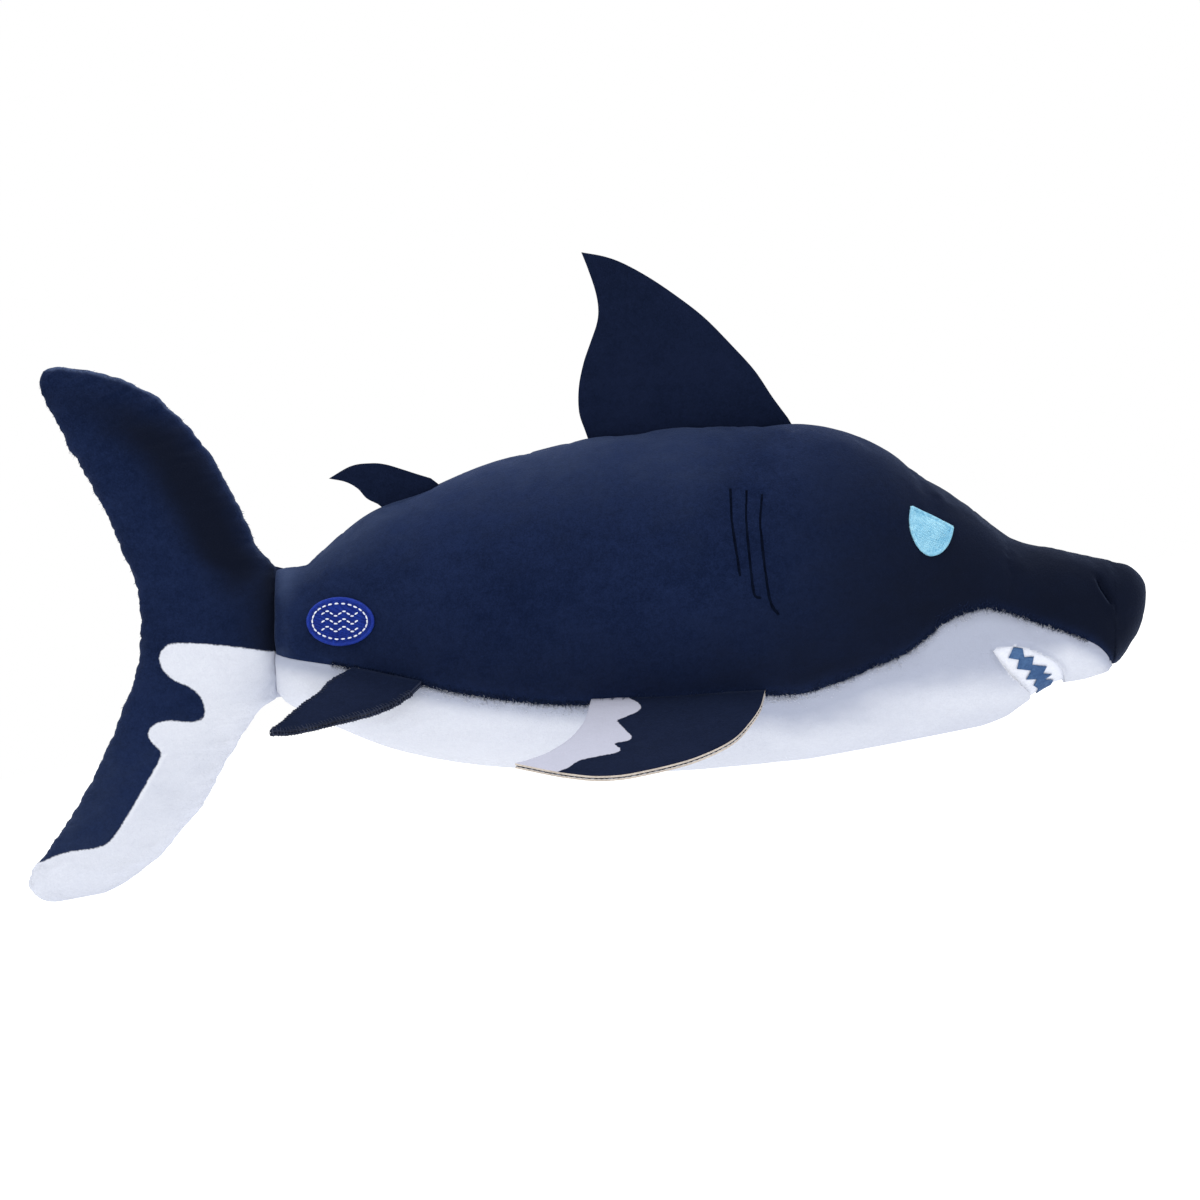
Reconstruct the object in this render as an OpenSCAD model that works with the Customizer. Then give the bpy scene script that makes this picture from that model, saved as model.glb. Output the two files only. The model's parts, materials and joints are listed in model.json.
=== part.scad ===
// Stuffed plush shark, built from sewn covers, stuffing and flat layered fins.
// Millimetres. The shark is drawn level, nose towards +X and back towards +Z, and is then
// pitched nose-down about Y so that it rests on its throat and on the tip of its lower tail lobe.
// The origin is the middle of the footprint, on the surface that it rests on.

/* [Stance] */
// Nose-down pitch of the resting toy, in degrees
rest_pitch = 10.8; // [10.6:0.1:11]
// Height of the level frame's origin above the surface that the toy rests on
rest_lift = 14.5; // [14:0.1:15]
// Shift along X that brings the footprint's middle to the origin
rest_shift = -1.7; // [-3:0.1:0]

/* [Body] */
// Squareness of the trunk's cross-section: 2 is an ellipse
roundness = 2.2; // [2:0.1:2.6]
// Height of the widest line, as a share of the section's height
waist = 0.46; // [0.4:0.01:0.52]
// Greatest width across the trunk
trunk_w = 114; // [104:2:120]

/* [Fabric] */
// Thickness of the plush, backing and pile together
plush_t = 2.5; // [2:0.1:2.6]
// Space between the plush and the stuffing
fill_gap = 1.5; // [0.5:0.1:2]
// Space between two sewn edges
seam_gap = 0.4; // [0.3:0.1:0.6]
// Thickness of the felt in the mouth
felt_t = 1.2; // [0.8:0.1:1.2]
// Thickness of embroidery where it stands on the plush
stitch_t = 0.9; // [0.6:0.1:1.2]

/* [Fins] */
// Thickness of one fabric layer of a fin
layer_t = 1.4; // [1:0.1:1.6]
// Thickness of the interlining between the layers
core_t = 0.5; // [0.3:0.1:0.8]
// Droop of the pectoral fins below the horizontal, in degrees
pectoral_droop = 30; // [25:1:35]
// Droop of the pelvic fins below the horizontal, in degrees
pelvic_droop = 36; // [30:1:40]

/* [Hidden] */
PARTS = ["body_cover_right", "body_cover_left", "belly_cover", "body_stuffing", "mouth_felt",
    "mouth_zigzag", "eye_right", "eye_left", "gill_stitches_right", "gill_stitches_left",
    "nostril_stitch_right", "nostril_stitch_left", "badge", "badge_stitches", "badge_waves",
    "care_label", "closing_stitches", "tail_cover_right", "tail_cover_left", "tail_stuffing"];
FIN_PIECES = ["dorsal_fin_right_layer", "dorsal_fin_left_layer", "dorsal_fin_interlining",
    "rear_fin_right_layer", "rear_fin_left_layer", "rear_fin_interlining",
    "pectoral_right_top_layer", "pectoral_right_bottom_layer", "pectoral_right_interlining",
    "pectoral_right_edge_thread", "pectoral_left_top_layer", "pectoral_left_bottom_layer",
    "pectoral_left_interlining", "pectoral_left_edge_thread", "pelvic_right_top_layer",
    "pelvic_right_bottom_layer", "pelvic_right_interlining", "pelvic_right_edge_thread",
    "pelvic_left_top_layer", "pelvic_left_bottom_layer", "pelvic_left_interlining",
    "pelvic_left_edge_thread"];

navy = "#1c2544";
milk = "#d8dae6";
floss = "#0f1425";
sky = "#99cfe6";
royal = "#173a95";
wadding = "#f1efe9";

// Trunk sections: x, top, bottom, half-width as a share of the greatest half-width.
TRUNK = [
    [-141, 90, 32, 0.35], [-127, 94, 26, 0.42], [-112, 105, 18, 0.51], [-97, 115, 12, 0.6],
    [-79, 122, 7, 0.7], [-56, 133, 2.5, 0.81], [-29, 141, 0.3, 0.9], [0, 148, 0, 0.96],
    [42, 152, 0, 1], [90, 154.5, 3.5, 0.98], [112, 152, 6.5, 0.93], [130, 145, 9, 0.86],
    [149, 132, 12, 0.76], [168, 119, 16, 0.66], [186, 105, 22, 0.57], [196, 101, 28, 0.53],
    [208, 99, 36, 0.49], [223, 96, 40, 0.44], [232, 94, 44, 0.4], [235, 93, 46, 0.38],
    [242, 91, 55, 0.3], [247, 87, 64, 0.21], [249.5, 83, 72, 0.11], [250, 80, 78, 0.03]];
// Seam between the back and the belly: x, z.
SEAM = [[-141, 51], [-123, 47.5], [-112, 45.5], [-78, 37.5], [-56, 33], [-13, 28.5], [40, 30.5],
    [77, 32.5], [94, 33.5], [112, 39], [126, 45], [140, 51], [149, 57.5], [158, 65], [173, 70],
    [182, 69.5], [204, 63.5], [218, 59], [227, 55], [232, 50.5]];
// Tail sections from the upper tip to the lower: front x and z, rear x and z, half-thickness.
TAIL = [
    [-240, 180, -247.5, 175, 1], [-224, 178.5, -246, 168, 4], [-206, 173, -241, 157, 6],
    [-187, 160, -233, 142, 9], [-169, 137.5, -224, 127, 11.5], [-158, 117.5, -216, 111, 13],
    [-150, 100, -210, 97, 14], [-141.2, 90, -205.5, 86, 14], [-141.2, 83, -203, 76, 14],
    [-141.2, 72, -202, 66, 14], [-141.2, 61, -202.5, 55, 14], [-141.2, 50, -204, 43, 14],
    [-141.2, 39, -207, 35, 14], [-141.2, 32, -210, 28, 14], [-148, 27, -214, 16, 14],
    [-155, 17.5, -219, 4, 13.5], [-163, 4.5, -226, -10, 13], [-172, -13, -235, -24, 12],
    [-182, -28, -243, -36, 10.5], [-195, -43, -250, -46, 8.5], [-210, -54, -252, -50, 6],
    [-224, -59, -251, -54, 4], [-238, -59.5, -248, -57.5, 1]];

tail_x = -141;
belly_tip_x = 234.5;
nose_x = 250;
nose_start = 225;
station_step = 12;
surface_gap = 0.3;
fin_t = 2 * layer_t + core_t + 0.4;
root_gap = 0.9;
hinge_off = fin_t / 2 + root_gap;

// Shapes drawn on the side of the body: x, z in the level frame.
EYE = [[142.5, 118], [152, 113], [161.5, 108], [161.5, 104.5], [160, 101], [157.5, 98], [154, 96],
    [150, 96], [145.5, 99], [142.5, 103], [141.5, 109]];
MOUTH = [[181, 52], [186, 54.5], [195, 55], [203, 52.5], [209, 49.5], [214, 45], [216.5, 40],
    [218, 20], [199, 20], [198, 33.5], [193, 38], [187, 44.5]];
ZIGZAG = [[188, 49.5], [191, 53.5], [194.5, 53], [195, 50], [200, 50.5], [199.5, 47], [205.5, 46],
    [204.5, 42.5], [208.5, 42], [210, 38], [210, 20], [203, 20], [200, 37.5], [202.5, 40.5],
    [196.5, 39.5], [199, 44], [192, 44], [192.5, 48]];
GILLS = [
    [[63.5, 124], [63.5, 112], [64, 100], [66, 93], [68, 87], [67.5, 83]],
    [[71, 125], [70.5, 113], [71.5, 102], [72.5, 90], [73.5, 80], [75.5, 77], [77, 79]],
    [[78, 122.5], [76.5, 112.5], [77, 102], [79, 90], [81, 80], [82.5, 72], [85, 69]]];
NOSTRIL = [[227, 84], [228, 80.5], [231, 76.5], [233, 73], [235, 70]];
badge_mid = [-112, 66];
badge_r = [15, 10.5];
WAVES = [-4, 0, 4];

// Fin outlines, from the rear end of the root round to its front end. The back fins are x, z in
// the level frame. The paired fins are measured along their root, and outwards from it.
DORSAL = [[-3, 148.4], [-5, 157.3], [-5, 168.3], [-3, 179.3], [0, 188.3], [3, 197.3], [3.5, 204.3],
    [2, 212.3], [-1.5, 223.3], [-4, 229.3], [6, 227.3], [14.5, 224.3], [26, 218.3], [38, 210.3],
    [51, 200.3], [63.5, 187.8], [74, 176.3], [82, 164.3], [90, 154.9]];
REAR = [[-97, 115.2], [-100.5, 118.5], [-104.5, 122.8], [-110, 125.8], [-117.5, 127.3],
    [-107.5, 133.3], [-98.5, 134.3], [-92, 133.8], [-85, 131.6], [-77, 129.6], [-70, 128.4]];
PECTORAL = [[0, 0], [-1.3, 9.3], [-3.9, 18.6], [-9.2, 28.6], [-17.6, 36.8], [-25, 41.2],
    [-32.6, 44.7], [-25, 47.8], [-17.6, 51.5], [-9.2, 55.3], [1.4, 58.4], [14.1, 59], [24.6, 56.9],
    [35.2, 53.4], [45.7, 48.6], [56.3, 41.4], [64.7, 33], [71, 21.5], [75.2, 9.7], [77, 0]];
PELVIC = [[0, 0], [-3.4, 7], [-5.3, 17.7], [-8.4, 25.2], [-11.3, 33.4], [-14, 41.6], [-17.5, 49.3],
    [-11, 47.5], [-2.6, 42.6], [6.1, 35.4], [14.7, 28], [23.3, 20.4], [29.4, 12.3], [33.8, 4.5],
    [35, 0]];
// Where the paired fins' roots start in the level frame, and how they turn: slope and yaw.
pectoral_at = [0, 48.9, 29.5];
pectoral_turn = [-3, 1.8];
pelvic_at = [-111.5, 30.9, 44.3];
pelvic_turn = [11, 15];

// Interpolation of a table's columns over its first column.
function last(list) = list[len(list) - 1];
function row_below(table, x) = last([for (i = [0:len(table) - 2]) if (i == 0 || x >= table[i][0]) i]);
function slope(table, i, c) =
    let (a = max(i - 1, 0), b = min(i + 1, len(table) - 1))
    (table[b][c] - table[a][c]) / (table[b][0] - table[a][0]);
function at(table, x, c) =
    let (i = row_below(table, x), p = table[i], q = table[i + 1], d = q[0] - p[0], s = (x - p[0]) / d)
    (2 * s * s * s - 3 * s * s + 1) * p[c] + (s * s * s - 2 * s * s + s) * d * slope(table, i, c)
    + (3 * s * s - 2 * s * s * s) * q[c] + (s * s * s - s * s) * d * slope(table, i + 1, c);

// The trunk's section at x, drawn in by a depth under its surface: x, top, bottom, half-width.
function nose_turn(x) = pow(max(0, (x - nose_start) / (nose_x - nose_start)), 3);
function section(x, depth) =
    let (turn = nose_turn(x), d = depth * (1 - turn))
    [x - depth * turn, at(TRUNK, x, 1) - d, at(TRUNK, x, 2) + d, trunk_w / 2 * at(TRUNK, x, 3) - d];
function widest(s) = s[2] + waist * (s[1] - s[2]);
// A point of a section at an angle: 90 is the back, 0 the side and -90 the belly.
function rim(s, angle, side) =
    let (h = angle > 0 ? s[1] - widest(s) : widest(s) - s[2])
    [s[0], side * s[3] * pow(abs(cos(angle)), 2 / roundness),
        widest(s) + h * sign(angle) * pow(abs(sin(angle)), 2 / roundness)];
// The side of the trunk at x and z.
function side_y(x, z) =
    let (s = section(x, 0), h = z > widest(s) ? s[1] - widest(s) : widest(s) - s[2])
    s[3] * pow(max(0, 1 - pow(abs(z - widest(s)) / h, roundness)), 1 / roundness);
function seam_angle(x) =
    let (s = section(x, 0), drop = (widest(s) - at(SEAM, x, 1)) / (widest(s) - s[2]))
    x > last(SEAM)[0] ? -90 : sign(-drop) * asin(min(1, pow(abs(drop), roundness / 2)));
function stations(low, high) = concat([low],
    [for (i = [0:len(TRUNK) - 2]) for (j = [0:ceil((TRUNK[i + 1][0] - TRUNK[i][0]) / station_step) - 1])
        let (n = ceil((TRUNK[i + 1][0] - TRUNK[i][0]) / station_step),
            x = TRUNK[i][0] + (TRUNK[i + 1][0] - TRUNK[i][0]) * j / n)
        if (x > low + 1 && x < high) x], [high]);

// A point that would lie under the surface is lifted onto it, because the toy flattens there.
function grounded(p, over) =
    let (z = p[2] * cos(rest_pitch) - p[0] * sin(rest_pitch) + rest_lift)
    z < over ? [p[0], p[1], p[2] + (over - z) / cos(rest_pitch)] : p;
function settled(grid, over) = [for (row = grid) [for (p = row) grounded(p, over)]];
function flat(grid) = [for (row = grid) for (p = row) p];

// Two triangles for each cell of a grid, and for each cell of the wall round it.
function cells(rows, cols, from, turned) = [for (i = [0:rows - 2]) for (j = [0:cols - 2])
    let (a = from + i * cols + j, b = a + 1, c = a + cols, d = c + 1)
    each turned ? [[a, c, d], [a, d, b]] : [[a, d, c], [a, b, d]]];
function border(rows, cols) = concat([for (j = [0:cols - 2]) j],
    [for (i = [0:rows - 2]) i * cols + cols - 1],
    [for (j = [cols - 1:-1:1]) (rows - 1) * cols + j], [for (i = [rows - 1:-1:1]) i * cols]);
module shell(outer, inner) {
    rows = len(outer);
    cols = len(outer[0]);
    n = rows * cols;
    ring = border(rows, cols);
    m = len(ring);
    polyhedron(concat(flat(outer), flat(inner)), concat(
        cells(rows, cols, 0, false), cells(rows, cols, n, true),
        [for (i = [0:m - 1]) let (a = ring[i], b = ring[(i + 1) % m])
            each [[a, a + n, b + n], [a, b + n, b]]]));
}
// A closed solid from rings of points, with flat ends.
module loft(rings) {
    m = len(rings[0]);
    n = len(rings);
    polyhedron(flat(rings), concat(
        [for (i = [0:n - 2]) for (j = [0:m - 1]) let (k = (j + 1) % m)
            each [[i * m + j, (i + 1) * m + k, (i + 1) * m + j], [i * m + j, i * m + k, (i + 1) * m + k]]],
        [for (j = [1:m - 2]) [0, j + 1, j]],
        [for (j = [1:m - 2]) [(n - 1) * m, (n - 1) * m + j, (n - 1) * m + j + 1]]));
}
module posed() {
    translate([rest_shift, 0, rest_lift]) rotate([0, rest_pitch, 0]) children();
}

// Covers of the trunk.
back_cols = 9;
belly_cols = 6;
half_seam = 0.25;
function back_grid(depth, side) = [for (x = stations(tail_x + seam_gap / 2, nose_x))
    let (low = seam_angle(x) + half_seam)
    [for (j = [0:back_cols]) rim(section(x, depth), 89.8 - j / back_cols * (89.8 - low), side)]];
module body_cover(side) {
    outer = settled(back_grid(0, side), 0);
    inner = settled(back_grid(plush_t, side), plush_t);
    color(navy) posed() if (side > 0) shell(outer, inner); else shell(inner, outer);
}
module body_cover_right() { body_cover(-1); }
module body_cover_left() { body_cover(1); }

function belly_row(x, depth) =
    let (s = section(min(x, belly_tip_x), depth), high = x < belly_tip_x ? seam_angle(x) - half_seam : -86)
    concat([for (j = [0:belly_cols]) rim(s, high - j / belly_cols * (high + 90), 1)],
        [for (j = [belly_cols - 1:-1:0]) rim(s, high - j / belly_cols * (high + 90), -1)]);
function belly_grid(depth) = [for (x = concat(stations(tail_x + seam_gap / 2, 232), [belly_tip_x]))
    belly_row(x, depth)];
// The mouth's outline, driven through the head from side to side.
module through(outline, inset) {
    rotate([90, 0, 0]) linear_extrude(100, center = true) offset(delta = -inset) polygon(outline);
}
module belly_cover() {
    color(milk) posed() difference() {
        shell(settled(belly_grid(0), 0), settled(belly_grid(plush_t), plush_t));
        through(MOUTH, 0);
    }
}
function muzzle_grid(depth) = [for (x = [176:4:224]) belly_row(x, depth)];
module muzzle_layer(outline, depth, thick, inset) {
    posed() intersection() {
        shell(muzzle_grid(depth), muzzle_grid(depth + thick));
        through(outline, inset);
    }
}
module mouth_felt() { color(milk) muzzle_layer(MOUTH, 1.5, felt_t, 0.3); }
module mouth_zigzag() { color("#5a779c") muzzle_layer(ZIGZAG, 0.7, 0.7, 0); }

function full_ring(x, depth) =
    let (s = section(x, depth))
    [for (a = [90:-18:-270]) if (a > -270) a >= -90 ? rim(s, a, 1) : rim(s, -180 - a, -1)];
module body_stuffing() {
    color(wadding) posed()
        loft(settled([for (x = stations(tail_x + 5, nose_x)) full_ring(x, plush_t + fill_gap)],
            plush_t + fill_gap));
}

// Embroidery and patches that lie on the side of the trunk.
function on_side(p, lift, side) = [p[0], side * (side_y(p[0], p[1]) + surface_gap + lift), p[1]];
PATCH_RINGS = [0, 0.35, 0.7, 1];
module patch(outline, mid, thick, base, side) {
    n = len(outline);
    scaled = [for (k = PATCH_RINGS) [for (p = outline) mid + max(k, 0.02) * (p - mid)]];
    upper = [for (row = scaled) [for (p = row) on_side(p, base + thick, side)]];
    lower = [for (row = scaled) [for (p = row) on_side(p, base, side)]];
    rings = concat(upper, [for (i = [len(lower) - 1:-1:0]) lower[i]]);
    posed() loft([for (row = rings) side > 0 ? row : [for (i = [n - 1:-1:0]) row[i]]]);
}
module eye(side) {
    color(sky) patch([for (i = [len(EYE) - 1:-1:0]) EYE[i]], [151.3, 105], stitch_t, 0, side);
}
module eye_right() { eye(-1); }
module eye_left() { eye(1); }

// A line of thread on the side of the trunk, as wide as w.
module thread(path, w, thick, base, side) {
    n = len(path);
    rings = [for (i = [0:n - 1])
        let (d = path[min(i + 1, n - 1)] - path[max(i - 1, 0)], c = w / 2 * [-d[1], d[0]] / norm(d))
        [on_side(path[i] + c, base, side), on_side(path[i] - c, base, side),
            on_side(path[i] - c, base + thick, side), on_side(path[i] + c, base + thick, side)]];
    posed() loft([for (r = rings) side > 0 ? r : [r[3], r[2], r[1], r[0]]]);
}
module gill_stitches(side) {
    color(floss) for (line = GILLS) thread(line, 1.8, stitch_t, 0, side);
}
module gill_stitches_right() { gill_stitches(-1); }
module gill_stitches_left() { gill_stitches(1); }
module nostril_stitch_right() { color(floss) thread(NOSTRIL, 1.6, stitch_t, 0, -1); }
module nostril_stitch_left() { color(floss) thread(NOSTRIL, 1.6, stitch_t, 0, 1); }

function oval(inset, a) = badge_mid + [(badge_r[0] - inset) * cos(a), (badge_r[1] - inset) * sin(a)];
badge_t = 1.2;
module badge() {
    color(royal) patch([for (a = [0:15:345]) oval(0, a)], badge_mid, badge_t, 0, -1);
}
module badge_stitches() {
    color("white") for (a = [0:20:340])
        thread([for (k = [0:2]) oval(1.8, a + 5 * k)], 0.8, 0.6, badge_t + 0.2, -1);
}
module badge_waves() {
    color("white") for (rise = WAVES)
        thread([for (u = [-8:2:8]) badge_mid + [u, rise + 1.2 * sin(45 * u)]], 0.9, 0.6, badge_t + 0.2, -1);
}
module care_label() {
    color("white") posed() translate([-62, 44.4, 33]) rotate([-20, 0, 0]) translate([-9, 0, -26])
        cube([18, 0.5, 26]);
}
module closing_stitches() {
    color(milk) for (x = [-46:5:-16])
        thread([[x, at(SEAM, x, 1) - 1.8], [x + 1, at(SEAM, x, 1) + 1.8]], 0.7, 0.7, 0, 1);
}

// Tail: two covers sewn together round their edge, with stuffing between them.
tail_cols = 8;
edge_half = 1.6;
function bias(s) = (1 - cos(180 * s)) / 2;
function tail_y(t, v) =
    let (root = t[0] > tail_x - 1 ? side_y(tail_x, t[1]) : 0)
    max(edge_half, sqrt(pow(root * (1 - v), 2) + t[4] * t[4] * 4 * v * (1 - v)));
function tail_row(t, inset) = [for (j = [0:tail_cols])
    let (v = bias(j / tail_cols), y = tail_y(t, v))
    [t[0] + (t[2] - t[0]) * v, inset > 0 ? max(seam_gap / 4, y - inset) : y, t[1] + (t[3] - t[1]) * v]];
function sided(grid, side) = [for (row = grid) [for (p = row) [p[0], side * p[1], p[2]]]];
module tail_cover(side) {
    outer = sided(settled([for (t = TAIL) tail_row(t, 0)], 0), side);
    inner = sided(settled([for (t = TAIL) tail_row(t, plush_t)], 0), side);
    color(navy) posed() if (side > 0) shell(outer, inner); else shell(inner, outer);
}
module tail_cover_right() { tail_cover(-1); }
module tail_cover_left() { tail_cover(1); }

tail_fill_inset = 10;
function tail_fill_row(t) =
    let (chord = norm([t[2] - t[0], t[3] - t[1]]), low = tail_fill_inset / chord)
    [for (j = [0:tail_cols]) let (v = low + (1 - 2 * low) * j / tail_cols)
        [t[0] + (t[2] - t[0]) * v, max(0.6, tail_y(t, v) - plush_t - fill_gap), t[1] + (t[3] - t[1]) * v]];
module tail_stuffing() {
    half = [for (i = [1:len(TAIL) - 2]) tail_fill_row(TAIL[i])];
    rings = [for (row = half) concat(row, [for (j = [tail_cols:-1:0]) [row[j][0], -row[j][1], row[j][2]]])];
    color(wadding) posed() loft(settled(rings, plush_t + fill_gap));
}

// Fins: flat layers with a rounded root, so that they bend clear of the body.
// Places its children along a fin's root, X along it and Y outwards.
module on_root(outline) {
    run = last(outline) - outline[0];
    translate([outline[0][0], outline[0][1], 0]) rotate([0, 0, atan2(run[1], run[0])]) children();
}
function rooted(outline) =
    let (run = last(outline) - outline[0], down = [run[1], -run[0]] * fin_t / 2 / norm(run))
    concat(outline, [last(outline) + down, outline[0] + down]);
module fin_layer(outline, low) {
    difference() {
        translate([0, 0, low]) linear_extrude(layer_t) polygon(rooted(outline));
        on_root(outline) difference() {
            translate([-9, -fin_t, -fin_t]) cube([130, fin_t, 2 * fin_t]);
            translate([-10, 0, 0]) rotate([0, 90, 0]) cylinder(r = fin_t / 2, h = 132, $fn = 48);
        }
    }
}
module fin_core(outline) {
    difference() {
        translate([0, 0, -core_t / 2]) linear_extrude(core_t) offset(delta = -3) polygon(outline);
        on_root(outline) translate([-50, -99, -5]) cube([200, 100, 10]);
    }
}
module fin_edge(outline) {
    difference() {
        translate([0, 0, -fin_t / 2]) linear_extrude(fin_t) difference() {
            offset(delta = 1) polygon(outline);
            offset(delta = 0.15) polygon(outline);
        }
        on_root(outline) translate([-50, -96, -5]) cube([200, 100, 10]);
    }
}
skin_low = core_t / 2 + 0.1;
module fin_piece(piece, outline) {
    if (piece == "upper") fin_layer(outline, skin_low);
    if (piece == "lower") fin_layer(outline, -skin_low - layer_t);
    if (piece == "core") fin_core(outline);
    if (piece == "edge") fin_edge(outline);
}
module back_fin(piece, outline) {
    posed() translate([0, 0, hinge_off]) rotate([90, 0, 0]) fin_piece(piece, outline);
}
module paired_fin(piece, outline, where, turn, droop, side) {
    posed() mirror([0, side < 0 ? 1 : 0, 0]) translate(where) rotate([0, turn[0], turn[1]])
        rotate([-droop, 0, 0]) translate([0, hinge_off, 0]) fin_piece(piece, outline);
}
module pectoral(piece, side) {
    paired_fin(piece, PECTORAL, pectoral_at, pectoral_turn, pectoral_droop, side);
}
module pelvic(piece, side) {
    paired_fin(piece, PELVIC, pelvic_at, pelvic_turn, pelvic_droop, side);
}
module dorsal_fin_right_layer() { color(navy) back_fin("upper", DORSAL); }
module dorsal_fin_left_layer() { color(navy) back_fin("lower", DORSAL); }
module dorsal_fin_interlining() { color(wadding) back_fin("core", DORSAL); }
module rear_fin_right_layer() { color(navy) back_fin("upper", REAR); }
module rear_fin_left_layer() { color(navy) back_fin("lower", REAR); }
module rear_fin_interlining() { color(wadding) back_fin("core", REAR); }
module pectoral_right_top_layer() { color(navy) pectoral("upper", -1); }
module pectoral_right_bottom_layer() { color(milk) pectoral("lower", -1); }
module pectoral_right_interlining() { color(wadding) pectoral("core", -1); }
module pectoral_right_edge_thread() { color(floss) pectoral("edge", -1); }
module pectoral_left_top_layer() { color(navy) pectoral("upper", 1); }
module pectoral_left_bottom_layer() { color(milk) pectoral("lower", 1); }
module pectoral_left_interlining() { color(wadding) pectoral("core", 1); }
module pectoral_left_edge_thread() { color(floss) pectoral("edge", 1); }
module pelvic_right_top_layer() { color(navy) pelvic("upper", -1); }
module pelvic_right_bottom_layer() { color(navy) pelvic("lower", -1); }
module pelvic_right_interlining() { color(wadding) pelvic("core", -1); }
module pelvic_right_edge_thread() { color(floss) pelvic("edge", -1); }
module pelvic_left_top_layer() { color(navy) pelvic("upper", 1); }
module pelvic_left_bottom_layer() { color(navy) pelvic("lower", 1); }
module pelvic_left_interlining() { color(wadding) pelvic("core", 1); }
module pelvic_left_edge_thread() { color(floss) pelvic("edge", 1); }

body_cover_right();
body_cover_left();
belly_cover();
body_stuffing();
mouth_felt();
mouth_zigzag();
eye_right();
eye_left();
gill_stitches_right();
gill_stitches_left();
nostril_stitch_right();
nostril_stitch_left();
badge();
badge_stitches();
badge_waves();
care_label();
closing_stitches();
tail_cover_right();
tail_cover_left();
tail_stuffing();
dorsal_fin_right_layer();
dorsal_fin_left_layer();
dorsal_fin_interlining();
rear_fin_right_layer();
rear_fin_left_layer();
rear_fin_interlining();
pectoral_right_top_layer();
pectoral_right_bottom_layer();
pectoral_right_interlining();
pectoral_right_edge_thread();
pectoral_left_top_layer();
pectoral_left_bottom_layer();
pectoral_left_interlining();
pectoral_left_edge_thread();
pelvic_right_top_layer();
pelvic_right_bottom_layer();
pelvic_right_interlining();
pelvic_right_edge_thread();
pelvic_left_top_layer();
pelvic_left_bottom_layer();
pelvic_left_interlining();
pelvic_left_edge_thread();
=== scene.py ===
"""Plush shark: stuffed covers, flat layered fins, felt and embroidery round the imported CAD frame.

The shark is shaped level, in millimetres, nose towards +X, back towards +Z and its left side
towards +Y. The frame's tail joint says how far that level shark is pitched nose-down to rest,
and every mesh is turned into the row frame, in metres, as it is made.
"""

import json
import logging
import math
from dataclasses import dataclass, field
from enum import Enum

import bmesh
import bpy
import numpy as np
from mathutils import Matrix, Vector
from mathutils.bvhtree import BVHTree

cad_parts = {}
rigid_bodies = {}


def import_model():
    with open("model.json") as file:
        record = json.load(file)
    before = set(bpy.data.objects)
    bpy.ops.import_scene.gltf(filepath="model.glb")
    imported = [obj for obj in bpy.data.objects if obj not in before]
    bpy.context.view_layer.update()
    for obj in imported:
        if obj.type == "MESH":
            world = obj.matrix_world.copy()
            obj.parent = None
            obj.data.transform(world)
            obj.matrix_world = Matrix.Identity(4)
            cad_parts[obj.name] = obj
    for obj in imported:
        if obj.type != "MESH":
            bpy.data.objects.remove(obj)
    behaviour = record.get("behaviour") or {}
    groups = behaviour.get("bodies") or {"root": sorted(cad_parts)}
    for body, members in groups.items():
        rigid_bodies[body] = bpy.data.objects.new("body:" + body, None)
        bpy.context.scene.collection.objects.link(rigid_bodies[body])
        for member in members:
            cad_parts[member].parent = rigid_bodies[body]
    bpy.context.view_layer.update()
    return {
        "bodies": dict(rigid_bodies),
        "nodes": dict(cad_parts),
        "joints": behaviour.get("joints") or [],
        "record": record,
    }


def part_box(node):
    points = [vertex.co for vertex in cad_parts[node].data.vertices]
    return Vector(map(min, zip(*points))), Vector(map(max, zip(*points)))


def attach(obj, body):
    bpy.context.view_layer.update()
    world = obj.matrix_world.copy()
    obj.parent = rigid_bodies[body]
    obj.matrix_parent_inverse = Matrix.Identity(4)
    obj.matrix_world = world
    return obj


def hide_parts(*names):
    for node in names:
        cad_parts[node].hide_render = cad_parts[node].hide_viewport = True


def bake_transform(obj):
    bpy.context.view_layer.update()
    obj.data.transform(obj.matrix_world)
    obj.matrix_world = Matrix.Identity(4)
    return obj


LOG = logging.getLogger("plush_shark")
MM = 0.001
SEED = 20
# The tail hinge's place on the level shark, at the middle of the tail seam.
TAIL_HINGE = (-141.0, 0.0, 61.0)

Points = np.ndarray
Piece = bpy.types.Object


class Side(Enum):
    """A side of the shark, as the sign of Y there."""

    RIGHT = -1
    LEFT = 1


# ---- shader maths


class Value:
    """A shader socket that takes part in Python arithmetic."""

    def __init__(self, graph: "Graph", socket: bpy.types.NodeSocket) -> None:
        """Keeps the socket and the graph that its maths nodes go into."""
        self.graph = graph
        self.socket = socket

    def _math(self, operation: str, *values: "Value | float") -> "Value":
        """Adds a Math node on this socket and others.

        Args:
            operation: the Math node's operation.
            values: the other operands.

        Returns:
            The node's result.
        """
        inputs = {i: v for i, v in enumerate((self, *values))}
        return self.graph.node("ShaderNodeMath", {"operation": operation}, inputs)

    def __add__(self, other: "Value | float") -> "Value":
        """Sum."""
        return self._math("ADD", other)

    def __mul__(self, other: "Value | float") -> "Value":
        """Product."""
        return self._math("MULTIPLY", other)

    def __sub__(self, other: "Value | float") -> "Value":
        """Difference."""
        return self._math("SUBTRACT", other)

    def __rsub__(self, other: float) -> "Value":
        """Difference from a number."""
        return self * -1.0 + other

    __radd__ = __add__
    __rmul__ = __mul__

    def sine(self) -> "Value":
        """The sine of this value."""
        return self._math("SINE")

    def step(self, low: float, high: float) -> "Value":
        """A smooth step from 0 at low to 1 at high.

        Args:
            low: where the step starts.
            high: where it ends.

        Returns:
            The step, clamped to 0 and 1.
        """
        settings = {"interpolation_type": "SMOOTHSTEP", "clamp": True}
        return self.graph.node("ShaderNodeMapRange", settings, {0: self, 1: low, 2: high, 3: 0.0, 4: 1.0})


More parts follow.
